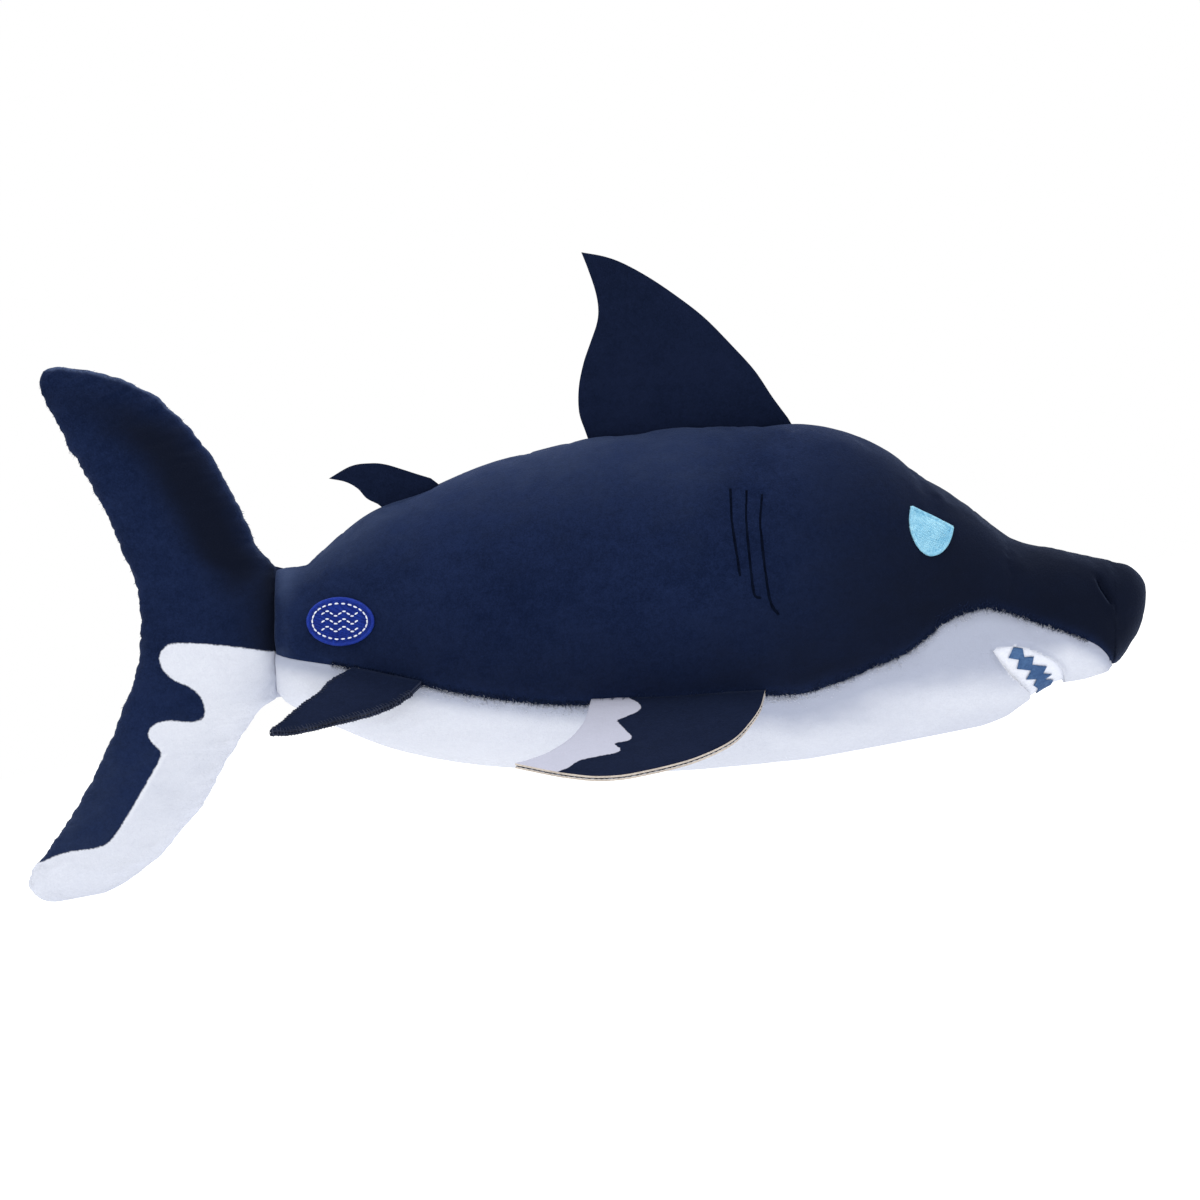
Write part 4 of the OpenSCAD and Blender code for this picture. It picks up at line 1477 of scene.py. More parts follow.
@dataclass
class Fin:
    """A flat fin of two fabric layers with an interlining, placed from the hinge at its root."""

    kit: MeshKit
    body: str
    joint: str
    nodes: dict
    rear_edge: list
    front_edge: list
    fold: Fold
    finishes: tuple = (NAVY_FLAT, NAVY_FLAT)
    slots: tuple = ("navy_plush", "navy_plush")
    white_print: list = field(default_factory=list)
    droop: float = -90.0
    sag: float = 0.0
    wave: float = 0.8
    frayed: float = 0.0
    rows: int = 64
    cols: int = 40
    root_depth: float = 5.0
    bend_run: float = 14.0
    layer: float = 1.4
    core: float = 0.35

    def settle(self, joints: list[dict]) -> None:
        """Reads the fin's place from its hinge.

        Args:
            joints: the frame's joints.
        """
        hinge = next(j for j in joints if j["name"] == self.joint)
        along = np.array(hinge["axis"], float)
        along *= math.copysign(1, along[0])
        upright = self.kit.turn @ np.array([0.0, 0.0, 1.0])
        aside = np.cross(upright, along) * (-1 if self.body.endswith("right") else 1)
        aside /= np.linalg.norm(aside)
        above = np.cross(along, aside)
        above *= math.copysign(1, above @ upright)
        low = math.radians(self.droop)
        self.along = along
        self.out = math.cos(low) * aside - math.sin(low) * above
        self.up = math.cos(low) * above + math.sin(low) * aside
        root = np.array(self.front_edge[0], float) - np.array(self.rear_edge[0], float)
        self.origin = np.array(hinge["pos_m"]) - along * np.linalg.norm(root) * MM / 2

    def flat(self) -> Points:
        """The fin's grid, laid flat.

        Returns:
            Places along the root and outwards, in millimetres, root first.
        """
        rear = smooth_path(self.rear_edge, self.rows)
        front = smooth_path(self.front_edge, self.rows)
        s = np.linspace(0, 1, self.cols + 1)[None, :, None]
        across = unit(front - rear)
        step = np.zeros((self.rows, 3))
        step[:, 0], step[:, 1] = np.arange(self.rows), len(self.body)
        ragged = self.frayed * lumps(step, 1.9, SEED + 14) * np.clip(np.arange(self.rows) / 3, 0, 1)
        front += across * ragged[:, None]
        rear -= across * np.roll(ragged, 3)[:, None]
        grid = rear[:, None] * (1 - s) + front[:, None] * s
        lean = (grid[0] - grid[1]) / np.maximum(np.abs(grid[0] - grid[1])[:, 1:], 0.1)
        tuck = np.stack([np.clip(lean[:, 0], -0.5, 0.5), np.full(self.cols + 1, -1.0)], -1) * self.root_depth
        return np.concatenate([[grid[0] + tuck], [grid[0] + tuck / 2], grid], axis=0)

    def shape(self, low: float) -> Points:
        """A layer's row-frame grid at a height over the fin's middle plane.

        Args:
            low: the height, in millimetres.

        Returns:
            The grid.
        """
        flat = self.flat()
        reach = np.maximum(flat[..., 1], 0)
        span = max(p[1] for p in self.rear_edge + self.front_edge)
        key = np.stack([flat[..., 0], flat[..., 1], flat[..., 0] * 0 + 7 * len(self.body)], -1)
        waves = self.wave * lumps(key, 24, SEED + 13) * ramp(reach, 20)
        lift = waves - self.sag * (reach / span) ** 2
        high = (lift + low)[..., None] * MM
        return self.origin + flat[..., :1] * MM * self.along + flat[..., 1:] * MM * self.out + high * self.up

    def layer_piece(self, which: int) -> Piece:
        """One fabric layer, its rim in the finish of its edge.

        Args:
            which: 0 for the upper layer, 1 for the lower.

        Returns:
            The piece.
        """
        near = self.core / 2 + 0.1
        sign = 1 if which == 0 else -1
        face, back = self.shape(sign * (near + self.layer)), self.shape(sign * near)
        flat = self.flat()
        numbers = {}
        if self.white_print and which == 0:
            numbers["print_mm"] = np.clip(-edge_distance(flat, np.array(self.white_print, float)), -9, 9)
        name = f"{self.body}_{('upper', 'lower')[which]}_fabric"
        piece = self.kit.shell(name, face, back, self.finishes[which], **numbers)
        piece.data.materials.append(self.kit.wardrobe.get(RIM_FINISH[self.fold]))
        for poly in piece.data.polygons:
            if abs(Vector(self.up).dot(poly.normal)) < 0.6:
                poly.material_index = 1
                poly.use_smooth = False
        self.round_rim(piece)
        node = self.nodes[("upper", "lower")[which]]
        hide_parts(node)
        self.declare()
        self.bend(piece)
        return piece

    def round_rim(self, piece: Piece) -> None:
        """Bevels the rim, softly where the edge is turned in.

        Args:
            piece: the layer.
        """
        bevel = piece.modifiers.new("rim", "BEVEL")
        bevel.width = (0.6 if self.fold is Fold.TURNED else 0.22) * MM
        bevel.segments = 3 if self.fold is Fold.TURNED else 1
        bevel.limit_method = "ANGLE"
        bevel.angle_limit = math.radians(50)
        select_only(piece)
        bpy.ops.object.modifier_apply(modifier=bevel.name)

    def area(self) -> float:
        """The layer's flat area.

        Returns:
            The area in square metres.
        """
        grid = self.flat()
        ring = np.vstack([grid[:, 0], grid[::-1, -1]])
        x, y = ring[:, 0], ring[:, 1]
        return abs(np.dot(x, np.roll(y, -1)) - np.dot(y, np.roll(x, -1))) / 2 * MM * MM

    def declare(self) -> None:
        """Works out the layer's flat grid and area, and keeps neither.
        """
        grid = self.flat().reshape(-1, 2)
        self.area()

    def bend(self, piece: Piece) -> None:
        """Bakes a piece's place into its points; the bend's start and end are worked out and not used.

        Args:
            piece: the finished piece.
        """
        mid = self.origin + self.along * 0.02
        start = mid - self.out * 0.5 * MM
        end = mid + self.out * self.bend_run * MM
        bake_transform(piece)

    def interlining(self) -> None:
        """The stiff web between the layers, a little smaller than they are."""
        top, under = self.shape(self.core / 2), self.shape(-self.core / 2)
        middle = top.mean(axis=(0, 1), keepdims=True)
        top, under = (middle + (g - middle) * 0.965 for g in (top, under))
        piece = self.kit.shell(f"{self.body}_web", top, under, INTERLINING)
        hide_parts(self.nodes["core"])
        self.declare()
        self.bend(piece)

    def rim_line(self, grow: float) -> Points:
        """The free edge, from the root's rear end round the tip to its front end.

        Args:
            grow: how far outside the edge it runs, in millimetres.

        Returns:
            Row-frame points along the middle plane.
        """
        grid = self.shape(0.0)
        line = np.vstack([grid[3:, 0], grid[-2:2:-1, -1]])
        centre = grid[2:].mean(axis=(0, 1))
        return line + unit(line - centre) * grow * MM

    def edge_thread(self) -> None:
        """The seam thread round the edge: a sunk line on a cut edge, loops on an overlocked one."""
        line = self.rim_line(0.1)
        run = distance_along(line)
        rng = np.random.default_rng(SEED + len(self.body))
        pitch = (2.6 if self.fold is Fold.CUT else 1.5) * MM
        at = np.arange(pitch, run[-1] - pitch, pitch)
        at += rng.uniform(-0.2, 0.2, len(at)) * pitch
        spot = np.stack([np.interp(at, run, line[:, k]) for k in range(3)], 1)
        along = unit(np.gradient(spot, axis=0))
        away = np.cross(along, self.up)
        away *= np.sign(np.sum(away * (spot - line.mean(axis=0)), axis=1))[:, None]
        half = (self.core / 2 + self.layer + 0.2) * MM
        lines = []
        for p, a, o in zip(spot, along, away):
            if self.fold is Fold.CUT:
                reach, sunk = a * pitch * 0.42, o * 0.4 * MM
                lines.append(np.array([p - reach - sunk, p, p + reach - sunk]))
                continue
            lean = a * rng.uniform(0.5, 1.1) * MM
            bite = rng.uniform(1.3, 2.3) * MM
            loop = rng.uniform(0.35, 0.8) * MM
            lines.append(np.array([
                p - o * bite + self.up * half - lean,
                p - o * bite * 0.4 + self.up * half * 1.06 - lean * 0.6,
                p + o * loop * 0.6 + self.up * half * 0.8 - lean * 0.2, p + o * loop,
                p + o * loop * 0.6 - self.up * half * 0.8 + lean * 0.3,
                p - o * bite * 0.4 - self.up * half * 1.06 + lean * 0.6,
                p - o * bite - self.up * half + lean]))
            if rng.random() < 0.6:
                end = p + o * loop + a * rng.uniform(-1.2, 1.2) * MM
                end = end + self.up * rng.uniform(-1, 1) * half
                lines.append(np.array([p + o * loop * 0.4, (p + end) / 2 + o * loop * 0.5, end]))
        points, faces = self.kit.tubes(lines, (0.2 if self.fold is Fold.CUT else 0.24) * MM)
        finish = DARK_THREAD if self.fold is Fold.CUT else OVERLOCK_THREAD
        piece = self.kit.mesh(f"{self.body}_edge_stitches", points, faces, finish)
        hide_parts(self.nodes["edge"])
        self.bend(piece)

    def build(self, joints: list[dict]) -> None:
        """Makes every piece of the fin.

        Args:
            joints: the frame's joints.
        """
        self.settle(joints)
        self.layer_piece(0)
        self.layer_piece(1)
        self.interlining()
        if "edge" in self.nodes:
            self.edge_thread()
        LOG.info("%s built", self.body)


@dataclass
class FinSet:
    """The shark's six fins. Outlines run along the root from its rear end, and outwards."""

    kit: MeshKit
    # Back fins are given as level x and z and turned onto their root.
    dorsal_rear: list = field(default_factory=lambda: [
        [-2, 148.5], [-4.9, 157.3], [-5.1, 168.3], [-3, 179.3], [0, 188.3], [3, 197.3], [3.6, 204.3],
        [2.2, 212.3], [-1.2, 222.3], [-4, 229.3]])
    dorsal_front: list = field(default_factory=lambda: [
        [89, 155], [82, 164.4], [74, 176.3], [63.5, 187.8], [51, 200.3], [38, 210.3], [26, 218.3],
        [14.5, 224.5], [6, 227.5], [-4, 229.3]])
    rear_rear: list = field(default_factory=lambda: [
        [-95.4, 115.9], [-100.5, 118.5], [-104.5, 122.8], [-110, 125.8], [-117.5, 127.3]])
    rear_front: list = field(default_factory=lambda: [
        [-71.6, 127.7], [-78, 129.6], [-85, 131.8], [-92, 133.8], [-98.5, 134.3], [-107.5, 133],
        [-117.5, 127.3]])
    pectoral_rear: list = field(default_factory=lambda: [
        [0, 0], [-1.3, 9.3], [-3.9, 18.6], [-9.2, 28.6], [-17.6, 36.8], [-25, 41.2], [-32.6, 44.7]])
    pectoral_front: list = field(default_factory=lambda: [
        [77, 0], [75.2, 9.7], [71, 21.5], [64.7, 33], [56.3, 41.4], [45.7, 48.6], [35.2, 53.4],
        [24.6, 56.9], [14.1, 59], [1.4, 58.4], [-9.2, 55.3], [-17.6, 51.5], [-25, 47.8], [-32.6, 44.7]])
    pectoral_print: list = field(default_factory=lambda: [
        [-60, -9], [14, -9], [17.7, -3.8], [21.2, 0], [22.8, 3], [22.6, 5.4], [20.9, 8], [12.4, 14.2],
        [12.1, 15.2], [16.5, 24.5], [18.5, 28], [18.3, 30.6], [16.5, 32.4], [10.9, 33.6], [10.8, 34.6],
        [13.3, 38], [13.6, 40], [11.9, 41.6], [-3, 45.1], [-6, 47], [-9.3, 50.8], [-16.9, 54.7],
        [-22, 62], [-60, 62]])
    pelvic_rear: list = field(default_factory=lambda: [
        [2.2, 0], [-1.2, 7], [-3, 17.2], [-6, 24.5], [-8.9, 32.5], [-11.5, 40.5], [-14.6, 47.6]])
    pelvic_front: list = field(default_factory=lambda: [
        [36, 0], [34.8, 4.5], [30.8, 12.3], [25, 20.2], [16.6, 27.6], [8.2, 34.7], [-0.2, 41.5],
        [-8.4, 46.1], [-14.6, 47.6]])

    def on_root(self, rear: list, front: list) -> tuple[list, list]:
        """Level outlines measured along their root and out from it.

        Args:
            rear: the rear edge, from the root.
            front: the front edge, from the root.

        Returns:
            The two edges, turned.
        """
        base = np.array(rear[0], float)
        run = np.array(front[0], float) - base
        along = run / np.linalg.norm(run)
        out = np.array([-along[1], along[0]])
        turned = [[[float((np.array(p) - base) @ along), float((np.array(p) - base) @ out)] for p in edge]
                  for edge in (rear, front)]
        return turned[0], turned[1]

    def back_fin(self, body: str, rear: list, front: list, **extra: float) -> Fin:
        """A single fin on the back.

        Args:
            body: its body.
            rear: its rear edge, level x and z.
            front: its front edge.
            extra: more of its fields.

        Returns:
            The fin.
        """
        rear, front = self.on_root(rear, front)
        nodes = {"upper": f"{body}_right_layer", "lower": f"{body}_left_layer", "core": f"{body}_interlining"}
        return Fin(self.kit, body, f"{body}_bend", nodes, rear, front, Fold.TURNED, **extra)

    def paired_fin(self, kind: str, side: Side, rear: list, front: list, fold: Fold,
                   **extra: float | tuple | list) -> Fin:
        """One fin of a pair.

        Args:
            kind: pectoral or pelvic.
            side: its side.
            rear: its rear edge, along the root and outwards.
            front: its front edge.
            fold: how its edge is finished.
            extra: more of its fields.

        Returns:
            The fin.
        """
        stem = f"{kind}_{side.name.lower()}"
        nodes = {"upper": f"{stem}_top_layer", "lower": f"{stem}_bottom_layer",
                 "core": f"{stem}_interlining", "edge": f"{stem}_edge_thread"}
        body = f"{kind}_fin_{side.name.lower()}"
        return Fin(self.kit, body, f"{body}_flap", nodes, rear, front, fold, **extra)

    def build(self, joints: list[dict]) -> None:
        """Makes all fins.

        Args:
            joints: the frame's joints.
        """
        fins = [
            self.back_fin("dorsal_fin", self.dorsal_rear, self.dorsal_front, wave=1.3),
            self.back_fin("rear_fin", self.rear_rear, self.rear_front, wave=0.5, rows=40, cols=24),
        ]
        for side in Side:
            fins.append(self.paired_fin(
                "pectoral", side, self.pectoral_rear, self.pectoral_front, Fold.CUT, droop=30.0, sag=1.2,
                wave=0.7, layer=1.0, core=0.5, finishes=(PRINTED_FLAT, WHITE_PLUSH),
                slots=("navy_plush", "white_plush"), white_print=self.pectoral_print))
            fins.append(self.paired_fin(
                "pelvic", side, self.pelvic_rear, self.pelvic_front, Fold.OVERLOCKED, droop=36.0, sag=0.8,
                wave=0.7, frayed=0.45, cols=26))
        for fin in fins:
            fin.build(joints)


# ---- embroidery


class Ground:
    """Finds the trunk's surface under a point seen from the side."""

    def __init__(self, kit: MeshKit, cover: Piece, side: Side) -> None:
        """Keeps a search tree of a cover.

        Args:
            kit: the mesh kit.
            cover: the cover to lie on.
            side: which side it is.
        """
        self.kit = kit
        self.side = side
        faces = [tuple(p.vertices) for p in cover.data.polygons]
        self.tree = BVHTree.FromPolygons([v.co for v in cover.data.vertices], faces)

    def drop(self, flat: Points) -> tuple[Points, Points]:
        """Points of the surface under level x and z.

        Args:
            flat: level x and z.

        Returns:
            Row-frame points and normals.
        """
        out = np.array([0.0, float(self.side.value), 0.0])
        level = np.column_stack([flat[:, 0], np.full(len(flat), self.side.value * 90.0), flat[:, 1]])
        spots, normals = [], []
        for start in self.kit.row(level, -99):
            hit, normal, _, _ = self.tree.ray_cast(Vector(start), Vector(-out))
            spots.append(np.array(hit if hit else start * [1, 0.5, 1]))
            n = np.array(normal if hit else out)
            normals.append(n * math.copysign(1, n @ out))
        return np.array(spots), np.array(normals)


@dataclass
class StitchModel:
    """One stitch, modelled once as an arch of thread and copied wherever thread shows."""

    sides: int = 6
    arch: float = 0.5
    taper: float = 0.55
    cuts: tuple = (-0.36, -0.14, 0.14, 0.36)

    def build(self) -> tuple[Points, list]:
        """Models the stitch along X, one long, one wide and one high.

        Returns:
            Its points and faces.
        """
        bpy.ops.object.select_all(action="DESELECT")
        bpy.ops.mesh.primitive_cylinder_add(
            vertices=self.sides, radius=0.5, depth=1.0, end_fill_type="NGON", rotation=(0, math.pi / 2, 0))
        piece = bpy.context.object
        bpy.ops.object.transform_apply(location=True, rotation=True, scale=True)
        for place in self.cuts:
            bpy.ops.object.mode_set(mode="EDIT")
            bpy.ops.mesh.select_all(action="SELECT")
            bpy.ops.mesh.bisect(plane_co=(place, 0, 0), plane_no=(1, 0, 0))
            bpy.ops.object.mode_set(mode="OBJECT")
        points = np.array([v.co for v in piece.data.vertices])
        faces = [list(p.vertices) for p in piece.data.polygons]
        run = np.abs(points[:, 0]) * 2
        points[:, 1:] *= (1 - self.taper * run**4)[:, None]
        points[:, 2] += self.arch * (1 - run**2) - self.arch * 0.5
        bpy.data.objects.remove(piece)
        return points, faces


@dataclass
class Needlework:
    """Embroidery that lies on the covers: eyes, gills, nostrils and the badge."""

    kit: MeshKit
    trunk: Trunk
    ground: Ground
    stitch: tuple[Points, list]
    brow: list = field(default_factory=lambda: [[142.6, 117.4], [152.3, 112.9], [162, 108]])
    lid: list = field(default_factory=lambda: [
        [162, 108], [160.9, 103.7], [158.7, 99.4], [155.5, 96.3], [151.5, 95.1], [148.3, 96.3],
        [145, 99.8], [142.6, 105.5], [141.8, 111], [142.6, 117.4]])
    badge_middle: tuple = (-111.0, 66.0)
    badge_radii: tuple = (15.0, 10.5)
    badge_top: float = 1.35
    dashes: int = 26
    wave_stitches: int = 9
    thread: float = 0.62

    def sew(self, spots: Points, along: Points, normal: Points, length: Points, width: float,
            height: float) -> tuple[Points, list]:
        """Copies the stitch to many places.

        Args:
            spots: row-frame middles, in metres.
            along: unit directions of the stitches.
            normal: unit normals.
            length: each stitch's length in millimetres.
            width: the thread's width in millimetres.
            height: the arch's height in millimetres.

        Returns:
            Points and faces.
        """
        base, faces = self.stitch
        across = unit(np.cross(normal, along))
        size = np.asarray(length)[:, None, None] * base[None, :, :1] * along[:, None]
        size = size + width * base[None, :, 1:2] * across[:, None]
        size = size + height * base[None, :, 2:] * normal[:, None]
        points = (spots[:, None] + size * MM).reshape(-1, 3)
        step = len(base)
        return points, [[i * step + v for v in f] for i in range(len(spots)) for f in faces]

    def satin(self, path: Points, width: float, lift: float, pitch: float,
              height: float) -> tuple[Points, list]:
        """A column of satin stitches across a line.

        Args:
            path: level x and z along the line.
            width: the column's width in millimetres.
            lift: its height over the surface.
            pitch: the space from stitch to stitch.
            height: the stitches' arch.

        Returns:
            Points and faces.
        """
        run = np.linalg.norm(np.diff(path, axis=0), axis=1).sum()
        line = smooth_path(path.tolist(), max(4, int(run / pitch)))
        spots, normals = self.ground.drop(line)
        tangent = unit(np.gradient(spots, axis=0))
        across = unit(np.cross(normals, tangent) + tangent * 0.12)
        return self.sew(spots + normals * lift * MM, across, normals, np.full(len(spots), width),
                        self.thread, height)

    def fill(self, outline: Points, inset: float, turn: float, lift: float,
             stitch: float = 3.6, pitch: float = 0.5) -> tuple[Points, list]:
        """Rows of short stitches inside an outline.

        Args:
            outline: level x and z.
            inset: how far the rows stop inside it.
            turn: the rows' direction, in degrees.
            lift: their height over the surface.
            stitch: a stitch's length.
            pitch: the space between rows.

        Returns:
            Points and faces.
        """
        c, s = math.cos(math.radians(turn)), math.sin(math.radians(turn))
        spin = np.array([[c, s], [-s, c]])
        mid = outline.mean(axis=0)
        local = (outline - mid) @ spin.T
        middles, lengths = [], []
        for k, v in enumerate(np.arange(local[:, 1].min() + inset, local[:, 1].max() - inset, pitch)):
            u = np.arange(local[:, 0].min(), local[:, 0].max(), 0.2)
            row = np.column_stack([u, np.full(len(u), v)])
            inside = u[edge_distance(row, local) < -inset]
            if len(inside) < 4:
                continue
            start = inside[0] - (k % 3) * stitch / 3
            for left in np.arange(start, inside[-1], stitch):
                a, b = max(left, inside[0]), min(left + stitch, inside[-1])
                if b - a > 0.7:
                    middles.append([(a + b) / 2, v])
                    lengths.append(b - a + 0.15)
        flat = np.array(middles) @ spin + mid
        spots, normals = self.ground.drop(flat)
        ahead, _ = self.ground.drop(flat + np.array([c, s]) * 0.4)
        return self.sew(spots + normals * lift * MM, unit(ahead - spots), normals, np.array(lengths),
                        self.thread, 0.5)

    def pad(self, name: str, outline: Points, thick: float, finish: Finish) -> Piece:
        """The backing under a patch of embroidery, laid on the surface.

        Args:
            name: the piece's name.
            outline: level x and z.
            thick: its thickness in millimetres.
            finish: its finish.

        Returns:
            The piece.
        """
        mid = outline.mean(axis=0)
        away = np.vstack([outline, outline[:1]]) - mid
        top, under = [], []
        for share in (1.0, 0.97, 0.8, 0.6, 0.4, 0.2, 0.02):
            spots, normals = self.ground.drop(mid + away * share)
            top.append(spots + normals * thick * (0.25 if share == 1 else 1.0) * MM)
            under.append(spots - normals * 0.3 * MM)
        return self.kit.shell(name, np.array(top), np.array(under), finish)

    def attach(self, piece: Piece, node: str | None) -> None:
        """Puts a piece on the trunk, in place of its CAD node.

        Args:
            piece: the piece.
            node: the node, if the piece stands for one.
        """
        if node:
            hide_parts(node)
        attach(piece, "trunk")

    def lay(self, name: str, parts: list[tuple[Points, list]], finish: Finish, node: str | None) -> None:
        """Makes one piece from several runs of stitches, and puts it on the trunk.

        Args:
            name: the piece's name.
            parts: the runs' points and faces.
            finish: its finish.
            node: the node that it stands for, if any.
        """
        points, faces, start = [], [], 0
        for p, f in parts:
            points.append(p)
            faces += [[i + start for i in face] for face in f]
            start += len(p)
        self.attach(self.kit.mesh(name, np.vstack(points), faces, finish), node)

    def sew_eye(self) -> None:
        """A filled eye inside a satin border."""
        name = self.ground.side.name.lower()
        brow, lid = smooth_path(self.brow, 30), smooth_path(self.lid, 64)
        closed = np.vstack([brow[:-1], lid[:-1]])
        mid = closed.mean(axis=0)
        parts = [self.fill(closed, 1.2, 20, 0.3, 1.5, 0.55)]
        parts += [self.satin(mid + (edge - mid) * 0.93, 1.9, 0.45, 0.5, 0.9) for edge in (brow, lid)]
        self.lay(f"eye_embroidery_{name}", parts, EYE_THREAD, f"eye_{name}")
        pad = self.pad(f"eye_underlay_{name}", closed, 0.3, EYE_THREAD)
        self.attach(pad, None)

    def sew_lines(self) -> None:
        """Gill lines and the nostril's pinch."""
        name = self.ground.side.name.lower()
        gills = [self.satin(np.array(line, float), 1.4, -0.1, 0.5, 0.6)
                 for line in self.trunk.gills]
        self.lay(f"gill_embroidery_{name}", gills, DARK_THREAD, f"gill_stitches_{name}")
        dent = np.array(self.trunk.nostril[:4], float) + [1.9, 0.8]
        pinch = [self.satin(dent, 1.0, 0.0, 0.7, 0.4)]
        self.lay(f"nostril_pinch_{name}", pinch, DARK_THREAD, f"nostril_stitch_{name}")

    def oval(self, inset: float, count: int) -> Points:
        """The badge's outline.

        Args:
            inset: how far it is drawn in.
            count: how many points to return.

        Returns:
            Level x and z.
        """
        a = np.linspace(0, 2 * math.pi, count, endpoint=False)
        rx, rz = (r - inset for r in self.badge_radii)
        return np.array(self.badge_middle) + np.column_stack([rx * np.cos(a), rz * np.sin(a)])

    def sew_badge(self) -> None:
        """An oval patch with running stitches and three waves."""
        pad = self.pad("badge_patch", self.oval(0, 72), 0.9, BADGE_THREAD)
        self.attach(pad, "badge")
        fill = self.fill(self.oval(0, 72), 0.7, 0, 1.0)
        self.lay("badge_filling", [fill], BADGE_THREAD, None)
        rim = self.oval(0.5, 90)
        satin = self.satin(np.vstack([rim, rim[:1]]), 1.7, 0.95, 0.5, 1.0)
        self.lay("badge_rim", [satin], RIM_THREAD, None)
        spots, normals = self.ground.drop(self.oval(2.7, self.dashes))
        along = unit(np.roll(spots, -1, axis=0) - np.roll(spots, 1, axis=0))
        raised = normals * self.badge_top * MM
        running = self.sew(spots + raised, along, normals, np.full(self.dashes, 1.9), 0.75, 0.7)
        self.lay("badge_running_stitch", [running], WHITE_THREAD, "badge_stitches")
        waves = []
        u = np.linspace(-7.5, 7.5, self.wave_stitches)
        for rise in (-3.4, 0.0, 3.4):
            line = np.column_stack([u, rise + 1.0 * np.sin(u * 0.85)]) + np.array(self.badge_middle)
            spots, normals = self.ground.drop(smooth_path(line.tolist(), len(u)))
            along = unit(np.gradient(spots, axis=0))
            raised = normals * self.badge_top * MM
            waves.append(self.sew(spots + raised, along, normals, np.full(len(u), 1.75), 0.7, 0.6))
        self.lay("badge_wave_stitch", waves, WHITE_THREAD, "badge_waves")

    def sew_closing(self) -> None:
        """Ladder stitches over the stuffing opening."""
        x = np.arange(-46, -14, 4.0)
        z = self.trunk.seam.at(x, 1) + 0.6
        spots, normals = self.ground.drop(np.column_stack([x, z]))
        upper, _ = self.ground.drop(np.column_stack([x + 0.8, z + 1.5]))
        stitches = self.sew(spots + normals * 0.35 * MM, unit(upper - spots), normals,
                            np.full(len(x), 3.4), 0.5, 0.6)
        self.lay("ladder_stitches", [stitches], WHITE_THREAD, "closing_stitches")


@dataclass
class SeamFuzz:
    """Pile ends that stick out along the sewn seams."""

    kit: MeshKit
    trunk: Trunk
    tail: Tail
    radius: float = 0.16
    navy_count: int = 6768
    white_count: int = 4512

    def fibres(self, roots: Points, lean: Points, length: tuple,
               rng: np.random.Generator) -> tuple[Points, list]:
        """Tapered three-sided fibres.

        Args:
            roots: level points that they grow from.
            lean: the directions that they lean to.
            length: their shortest and longest length.
            rng: the seeded generator.

        Returns:
            Row-frame points and faces.
        """
        n = len(roots)
        lean = unit(unit(lean) + rng.normal(0, 0.3, (n, 3)))
        aside = unit(np.cross(lean, rng.normal(0, 1, (n, 3))))
        up = np.cross(lean, aside)
        reach = rng.uniform(*length, (n, 1))
        corners = [roots + self.radius * (math.cos(a) * aside + math.sin(a) * up)
                   for a in (0.0, 2.09, 4.19)]
        points = np.stack([*corners, roots + lean * reach], 1).reshape(-1, 3)
        faces = []
        for i in range(0, 4 * n, 4):
            faces += [[i, i + 2, i + 1], [i, i + 1, i + 3], [i + 1, i + 2, i + 3], [i + 2, i, i + 3]]
        return self.kit.row(points, 0.2), faces

    def belly_seam(self, navy: bool) -> Piece:
        """Fibres of one colour along both belly seams.

        Args:
            navy: whether they are the navy ones.

        Returns:
            The piece.
        """
        rng = np.random.default_rng(SEED + 30 + navy)
        n = self.navy_count if navy else self.white_count
        x = rng.uniform(self.trunk.seam_x + 26, self.trunk.belly_end - 12, n)
        side = rng.choice([-1.0, 1.0], n)
        spread = np.abs(rng.normal(0, 1.6, n)) + 0.1
        angle = self.trunk.seam_angle(x) + (spread if navy else -spread)
        roots = self.trunk.rim(x, angle, side)
        normal = unit(np.column_stack([x * 0, side, (roots[:, 2] - 72) / 55]))
        roots = roots + normal * (self.trunk.relief(roots) - 0.2)[:, None]
        lean = normal * 0.55 + np.array([-0.45, 0, -0.75 if navy else 0.45])
        points, faces = self.fibres(roots, lean, (1.2, 3.0) if navy else (1.0, 2.4), rng)
        finish = NAVY_PLUSH if navy else WHITE_PLUSH
        piece = self.kit.mesh(f"seam_fuzz_{'navy' if navy else 'white'}", points, faces, finish)
        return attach(piece, "trunk")

    def tail_edges(self) -> None:
        """Pile ends along the tail's upper front edge, painted pale as a highlight, and navy ones along its
        rear edge.
        """
        rng = np.random.default_rng(SEED + 40)
        front, rear, _, on_seam = self.tail.outline()
        for name, edge, keep, per_row in (
                ("front", front, ~on_seam & (front[:, 1] > 60), 7), ("rear", rear, rear[:, 1] > -36, 2)):
            out = unit(edge - (rear if name == "front" else front))
            picks = np.repeat(np.flatnonzero(keep), per_row)
            picks = picks[rng.random(len(picks)) < 0.8]
            side = rng.choice([-1.0, 1.0], len(picks))
            spot = edge[picks] - out[picks] * rng.uniform(0.2, 1.6, len(picks))[:, None]
            roots = np.column_stack([spot[:, 0], side * rng.uniform(0.2, 2.6, len(picks)), spot[:, 1]])
            lean = np.column_stack([out[picks, 0], side * 0.8, out[picks, 1] - 0.9])
            points, faces = self.fibres(roots, lean, (0.8, 2.2), rng)
            # The front edge's fibres are painted pale as a highlight.
            finish = PAINTED_HIGHLIGHT_PILE if name == "front" else NAVY_PLUSH
            piece = self.kit.mesh(f"tail_{name}_fuzz", points, faces, finish)
            self.tail.bend(piece)


